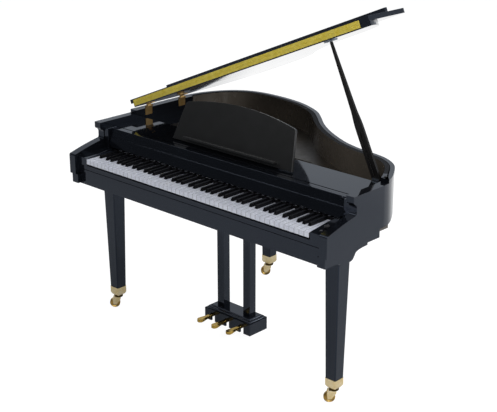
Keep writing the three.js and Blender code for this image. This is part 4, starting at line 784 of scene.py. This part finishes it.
# The axle's end is sought on the fork this near its centre line.
AXLE_REACH = 8.4 * MM
RIVET_RADIUS = 4.2 * MM
RIVET_HEIGHT = 1.3 * MM
COLLAR_RADIUS = 19.8 * MM
COLLAR_HEIGHT = 12.5 * MM
COLLAR_GAP = 0.4 * MM
COLLAR_STEPS = 40
COLLAR_SHARES = (
    (0.31, 0.0),
    (0.91, 0.0),
    (0.97, 0.09),
    (0.97, 0.25),
    (0.76, 0.33),
    (0.76, 0.46),
    (1.0, 0.54),
    (1.0, 0.76),
    (0.78, 0.86),
    (0.78, 1.0),
    (0.31, 1.0),
    (0.31, 0.0),
)
for side in ("left", "right", "rear"):
    eased("ferrule_" + side, BRASS_ROUND, caster_brass)
    eased("caster_fork_" + side, BRASS_ROUND, caster_brass, segments=2)
    dress("caster_wheel_" + side, wheel_brass_painted_shade)

    axle = Vector(JOINTS["caster_roll_" + side]["axis"]).normalized()
    hub = Vector(JOINTS["caster_roll_" + side]["pos_m"])
    corners = [v.co - hub for v in frame["nodes"]["caster_fork_" + side].data.vertices]
    near = [c.dot(axle) for c in corners if (c - axle * c.dot(axle)).length < AXLE_REACH]
    for number, way in enumerate((axle, -axle)):
        screw_heads(
            "caster_rivet_%s_%d" % (side, number),
            [hub + way * max(abs(reach) for reach in near)],
            way,
            RIVET_RADIUS,
            RIVET_HEIGHT,
            caster_brass,
            "swivel_" + side,
        )

    stem = Vector(JOINTS["caster_swivel_" + side]["pos_m"])
    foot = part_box("ferrule_" + side)[0].z - COLLAR_GAP - COLLAR_HEIGHT
    shape = bmesh.new()
    turned(
        shape,
        COLLAR_SHARES,
        COLLAR_RADIUS,
        COLLAR_HEIGHT,
        (stem.x, stem.y, foot),
        steps=COLLAR_STEPS,
    )
    finished("caster_collar_" + side, shape, collar_brass_painted_shade, "swivel_" + side)


# Lyre: two lacquered posts in a pedal box. A board with two coves lies on the box round the posts.
# The three pedals are cast brass levers, thickened to a rounded toe.
eased("lyre", BOARD_ROUND, black_lacquer)

# The posts' places, as the lyre has them, with a little room round each in the board.
POST_GAP = 112.0 * MM
POST_WIDTH = 38.0 * MM
POST_DEPTH = 36.0 * MM
POST_FRONT = 40.0 * MM
POST_ROOM = 0.2 * MM
# The box takes up less than this share of the lyre's height.
BOX_SHARE = 0.1
COVE_STEP = 1.6 * MM
COVE_RISE = 5.4 * MM
COVE_EDGE = 2.5 * MM
COVE_RUN = 10.0 * MM
COVE_STEPS = 6
COVES = 2
lyre_low, lyre_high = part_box("lyre")
box_limit = lyre_low.z + BOX_SHARE * (lyre_high.z - lyre_low.z)
corners = [v.co.z for v in frame["nodes"]["lyre"].data.vertices]
box_top = max(level for level in corners if level < box_limit)
lyre_x = (lyre_low.x + lyre_high.x) / 2
board_size = (
    lyre_high.x - lyre_low.x - 2 * COVE_EDGE,
    lyre_high.y - lyre_low.y - 2 * COVE_EDGE,
    COVE_STEP,
)
shape = bmesh.new()
slab(
    shape,
    (lyre_x, (lyre_low.y + lyre_high.y) / 2, box_top + SEAT + COVE_STEP / 2),
    board_size,
)
shape.normal_update()
top = max(shape.faces, key=lambda face: face.normal.z)
# Each cove is a quarter of a round that leaves a flat edge, and the second one starts on a step.
for cove in range(COVES):
    if cove:
        bmesh.ops.inset_region(shape, faces=[top], thickness=0.0, depth=COVE_STEP)
    bmesh.ops.inset_region(shape, faces=[top], thickness=COVE_EDGE, depth=0.0)
    for k in range(COVE_STEPS):
        start, end = (math.pi / 2 * (k + step) / COVE_STEPS for step in (0, 1))
        bmesh.ops.inset_region(
            shape,
            faces=[top],
            thickness=COVE_RUN * (math.sin(end) - math.sin(start)),
            depth=COVE_RISE * (math.cos(start) - math.cos(end)),
        )

# The board is cut along the sides of the posts, and each post's opening gets its walls.
post_front = lyre_low.y + POST_FRONT - POST_ROOM
post_back = lyre_low.y + POST_FRONT + POST_DEPTH + POST_ROOM
post_inner = POST_GAP / 2 - POST_ROOM
post_outer = POST_GAP / 2 + POST_WIDTH + POST_ROOM
post_sides = (-post_outer, -post_inner, post_inner, post_outer)
cuts = [((lyre_x + side, 0.0, 0.0), (1.0, 0.0, 0.0)) for side in post_sides]
cuts += [((0.0, side, 0.0), (0.0, 1.0, 0.0)) for side in (post_front, post_back)]
for point, normal in cuts:
    everything = shape.verts[:] + shape.edges[:] + shape.faces[:]
    bmesh.ops.bisect_plane(shape, geom=everything, plane_co=point, plane_no=normal)
for way in (-1, 1):
    inside = []
    for face in shape.faces:
        middle = face.calc_center_median()
        beside = post_inner < way * (middle.x - lyre_x) < post_outer
        if beside and post_front < middle.y < post_back:
            inside.append(face)
    rims = {edge for face in inside for edge in face.edges}
    bmesh.ops.delete(shape, geom=inside, context="FACES_KEEP_BOUNDARY")
    bmesh.ops.bridge_loops(shape, edges=list(rims))
finished("lyre_moulding", shape, black_lacquer, "case")

# Cast and polished brass: a deeper gold, brightest on the round of the toe.
pedal_brass = finish(
    "brass_cast_polished",
    ("C79F45", "DDBB66"),
    roughness=(0.1, 0.22),
    **BRASS,
)
PEDAL_ROUND = 1.8 * MM
TOE_SWELL = 0.65
TOE_END_SHARE = 0.45
TOE_FADE_SHARE = 0.225


def swollen_toe(shape):
    """Thickens the toe of a pedal, and lets it thin again over the first half of its length."""
    front = min(v.co.y for v in shape.verts)
    length = max(v.co.y for v in shape.verts) - front
    flat = [v.co.z for v in shape.verts if v.co.y < front + length / 2]
    level = (min(flat) + max(flat)) / 2
    toe_end = front + TOE_END_SHARE * length
    for v in shape.verts:
        share = min(1.0, max(0.0, (toe_end - v.co.y) / (TOE_FADE_SHARE * length)))
        v.co.z = level + (v.co.z - level) * (1 + TOE_SWELL * share)
    return ()


for name in ("left", "middle", "right"):
    eased("pedal_" + name, PEDAL_ROUND, pedal_brass, prepare=swollen_toe)


# Lid: a lacquered board with the rim's outline, and a front flap that folds back on it. They are
# joined along their whole length by a hinge of rolled brass strip, screwed to both.
for name in ("lid", "lid_flap"):
    eased(name, THIN_ROUND, black_lacquer)

# Rolled brass strip, brushed: a lemon gold with a soft, even light along its whole length.
strip_brass = finish(
    "brass_strip_brushed",
    ("F0DC5C", "FAEA7C"),
    roughness=(0.6, 0.75),
    **BRASS,
)
for name in ("lid_long_leaf", "flap_long_leaf"):
    dress(name, strip_brass)

rise = Vector(JOINTS["flap_fold"]["axis"])
LID = Matrix.Translation(JOINTS["lid_lift"]["pos_m"]) @ Matrix.Rotation(
    -math.atan2(rise.z, rise.x), 4, "Y"
)


def lid_box(node):
    """Lowest and highest corner of a node, measured along the lid, from its hinge line."""
    flat = [LID.inverted() @ v.co for v in frame["nodes"][node].data.vertices]
    return [Vector([pick(v[k] for v in flat) for k in range(3)]) for pick in (min, max)]


def on_lid(x, y, z):
    """A point with x and z given along the lid, and y given in the frame."""
    point = LID @ Vector((x, 0.0, z))
    return Vector((point.x, y, point.z))


# Each leaf of the long hinge with its body, and the share of its width where its screws are.
LONG_LEAVES = (("lid_long_leaf", "lid", 0.42), ("flap_long_leaf", "flap", 0.55))
LONG_SCREWS = 14
LONG_SCREW_RADIUS = 2.0 * MM
LONG_SCREW_HEIGHT = 0.05 * MM
LEAF_THICK = 1.4 * MM
for node, body, share in LONG_LEAVES:
    low, high = lid_box(node)
    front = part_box(node)[1].y - LEAF_THICK
    step = (high.x - low.x) / LONG_SCREWS
    level = low.z + share * (high.z - low.z)
    screw_heads(
        node + "_screws",
        [on_lid(low.x + (k + 0.5) * step, front, level) for k in range(LONG_SCREWS)],
        (0.0, -1.0, 0.0),
        LONG_SCREW_RADIUS,
        LONG_SCREW_HEIGHT,
        strip_brass,
        body,
    )


# Rim hinges: two butt hinges of pressed brass at the lid's left edge, one leaf of each let into
# the rim and the other into the lid, with four screws in the rim's leaf.

# Pressed brass with an antique lacquer: a duller, redder gold.
hinge_brass = finish(
    "brass_pressed_antique",
    ("D2A866", "E2BC80"),
    roughness=(0.28, 0.42),
    **BRASS,
)
BUTT_SCREW_RADIUS = 2.6 * MM
BUTT_SCREW_HEIGHT = 0.9 * MM
BUTT_THICK = 2.4 * MM
BUTT_Y_SHARES = (0.25, 0.75)
BUTT_Z_SHARES = (0.2, 0.55)
for number in (1, 2):
    dress("rim_hinge_leaf_%d" % number, hinge_brass)
    dress("lid_hinge_leaf_%d" % number, hinge_brass)
    low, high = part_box("rim_hinge_leaf_%d" % number)
    screw_heads(
        "rim_hinge_screws_%d" % number,
        [
            (low.x + BUTT_THICK, low.y + along * (high.y - low.y), low.z + up * (high.z - low.z))
            for along in BUTT_Y_SHARES
            for up in BUTT_Z_SHARES
        ],
        (1.0, 0.0, 0.0),
        BUTT_SCREW_RADIUS,
        BUTT_SCREW_HEIGHT,
        hinge_brass,
        "case",
    )


# Lid prop: a stained beech stick that turns in a folded steel bracket and stands in a zinc-plated
# steel plate under the lid, which two screws hold.
eased("lid_prop", THIN_ROUND, black_beech)
for name in ("prop_bracket", "prop_plate"):
    dress(name, zinc)
PLATE_SCREW_RADIUS = 2.8 * MM
PLATE_SCREW_HEIGHT = 1.0 * MM
PLATE_SHARES = (0.14, 0.86)
low, high = lid_box("prop_plate")
plate_low, plate_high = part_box("prop_plate")
plate_y = (plate_low.y + plate_high.y) / 2
screw_heads(
    "prop_plate_screws",
    [on_lid(low.x + share * (high.x - low.x), plate_y, low.z) for share in PLATE_SHARES],
    -(LID.to_3x3() @ UP),
    PLATE_SCREW_RADIUS,
    PLATE_SCREW_HEIGHT,
    zinc,
    "lid",
)


# Lid bumpers: two turned rubber buttons pressed into the cap of the rim.
# They keep the closed lid off the lacquer.

# Black rubber: dull, with a faint grey bloom.
rubber = finish(
    "rubber_black_pressed",
    ("1A1A1A", "232322"),
    mottle=3 * MM,
    roughness=(0.6, 0.8),
    cloud=2 * MM,
)
BUMPER_RADIUS = 5.5 * MM
BUMPER_HEIGHT = 2.2 * MM
BUMPER_SHARES = ((0.0, 0.0), (1.0, 0.0), (1.0, 0.6), (0.8, 1.0), (0.0, 1.0))
BUMPER_PLACES = ((0.676, -0.118), (-0.15, 0.395))
cap_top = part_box("rim")[1].z
shape = bmesh.new()
for x, y in BUMPER_PLACES:
    turned(shape, BUMPER_SHARES, BUMPER_RADIUS, BUMPER_HEIGHT, (x, y, cap_top))
finished("lid_bumpers", shape, rubber, "case")
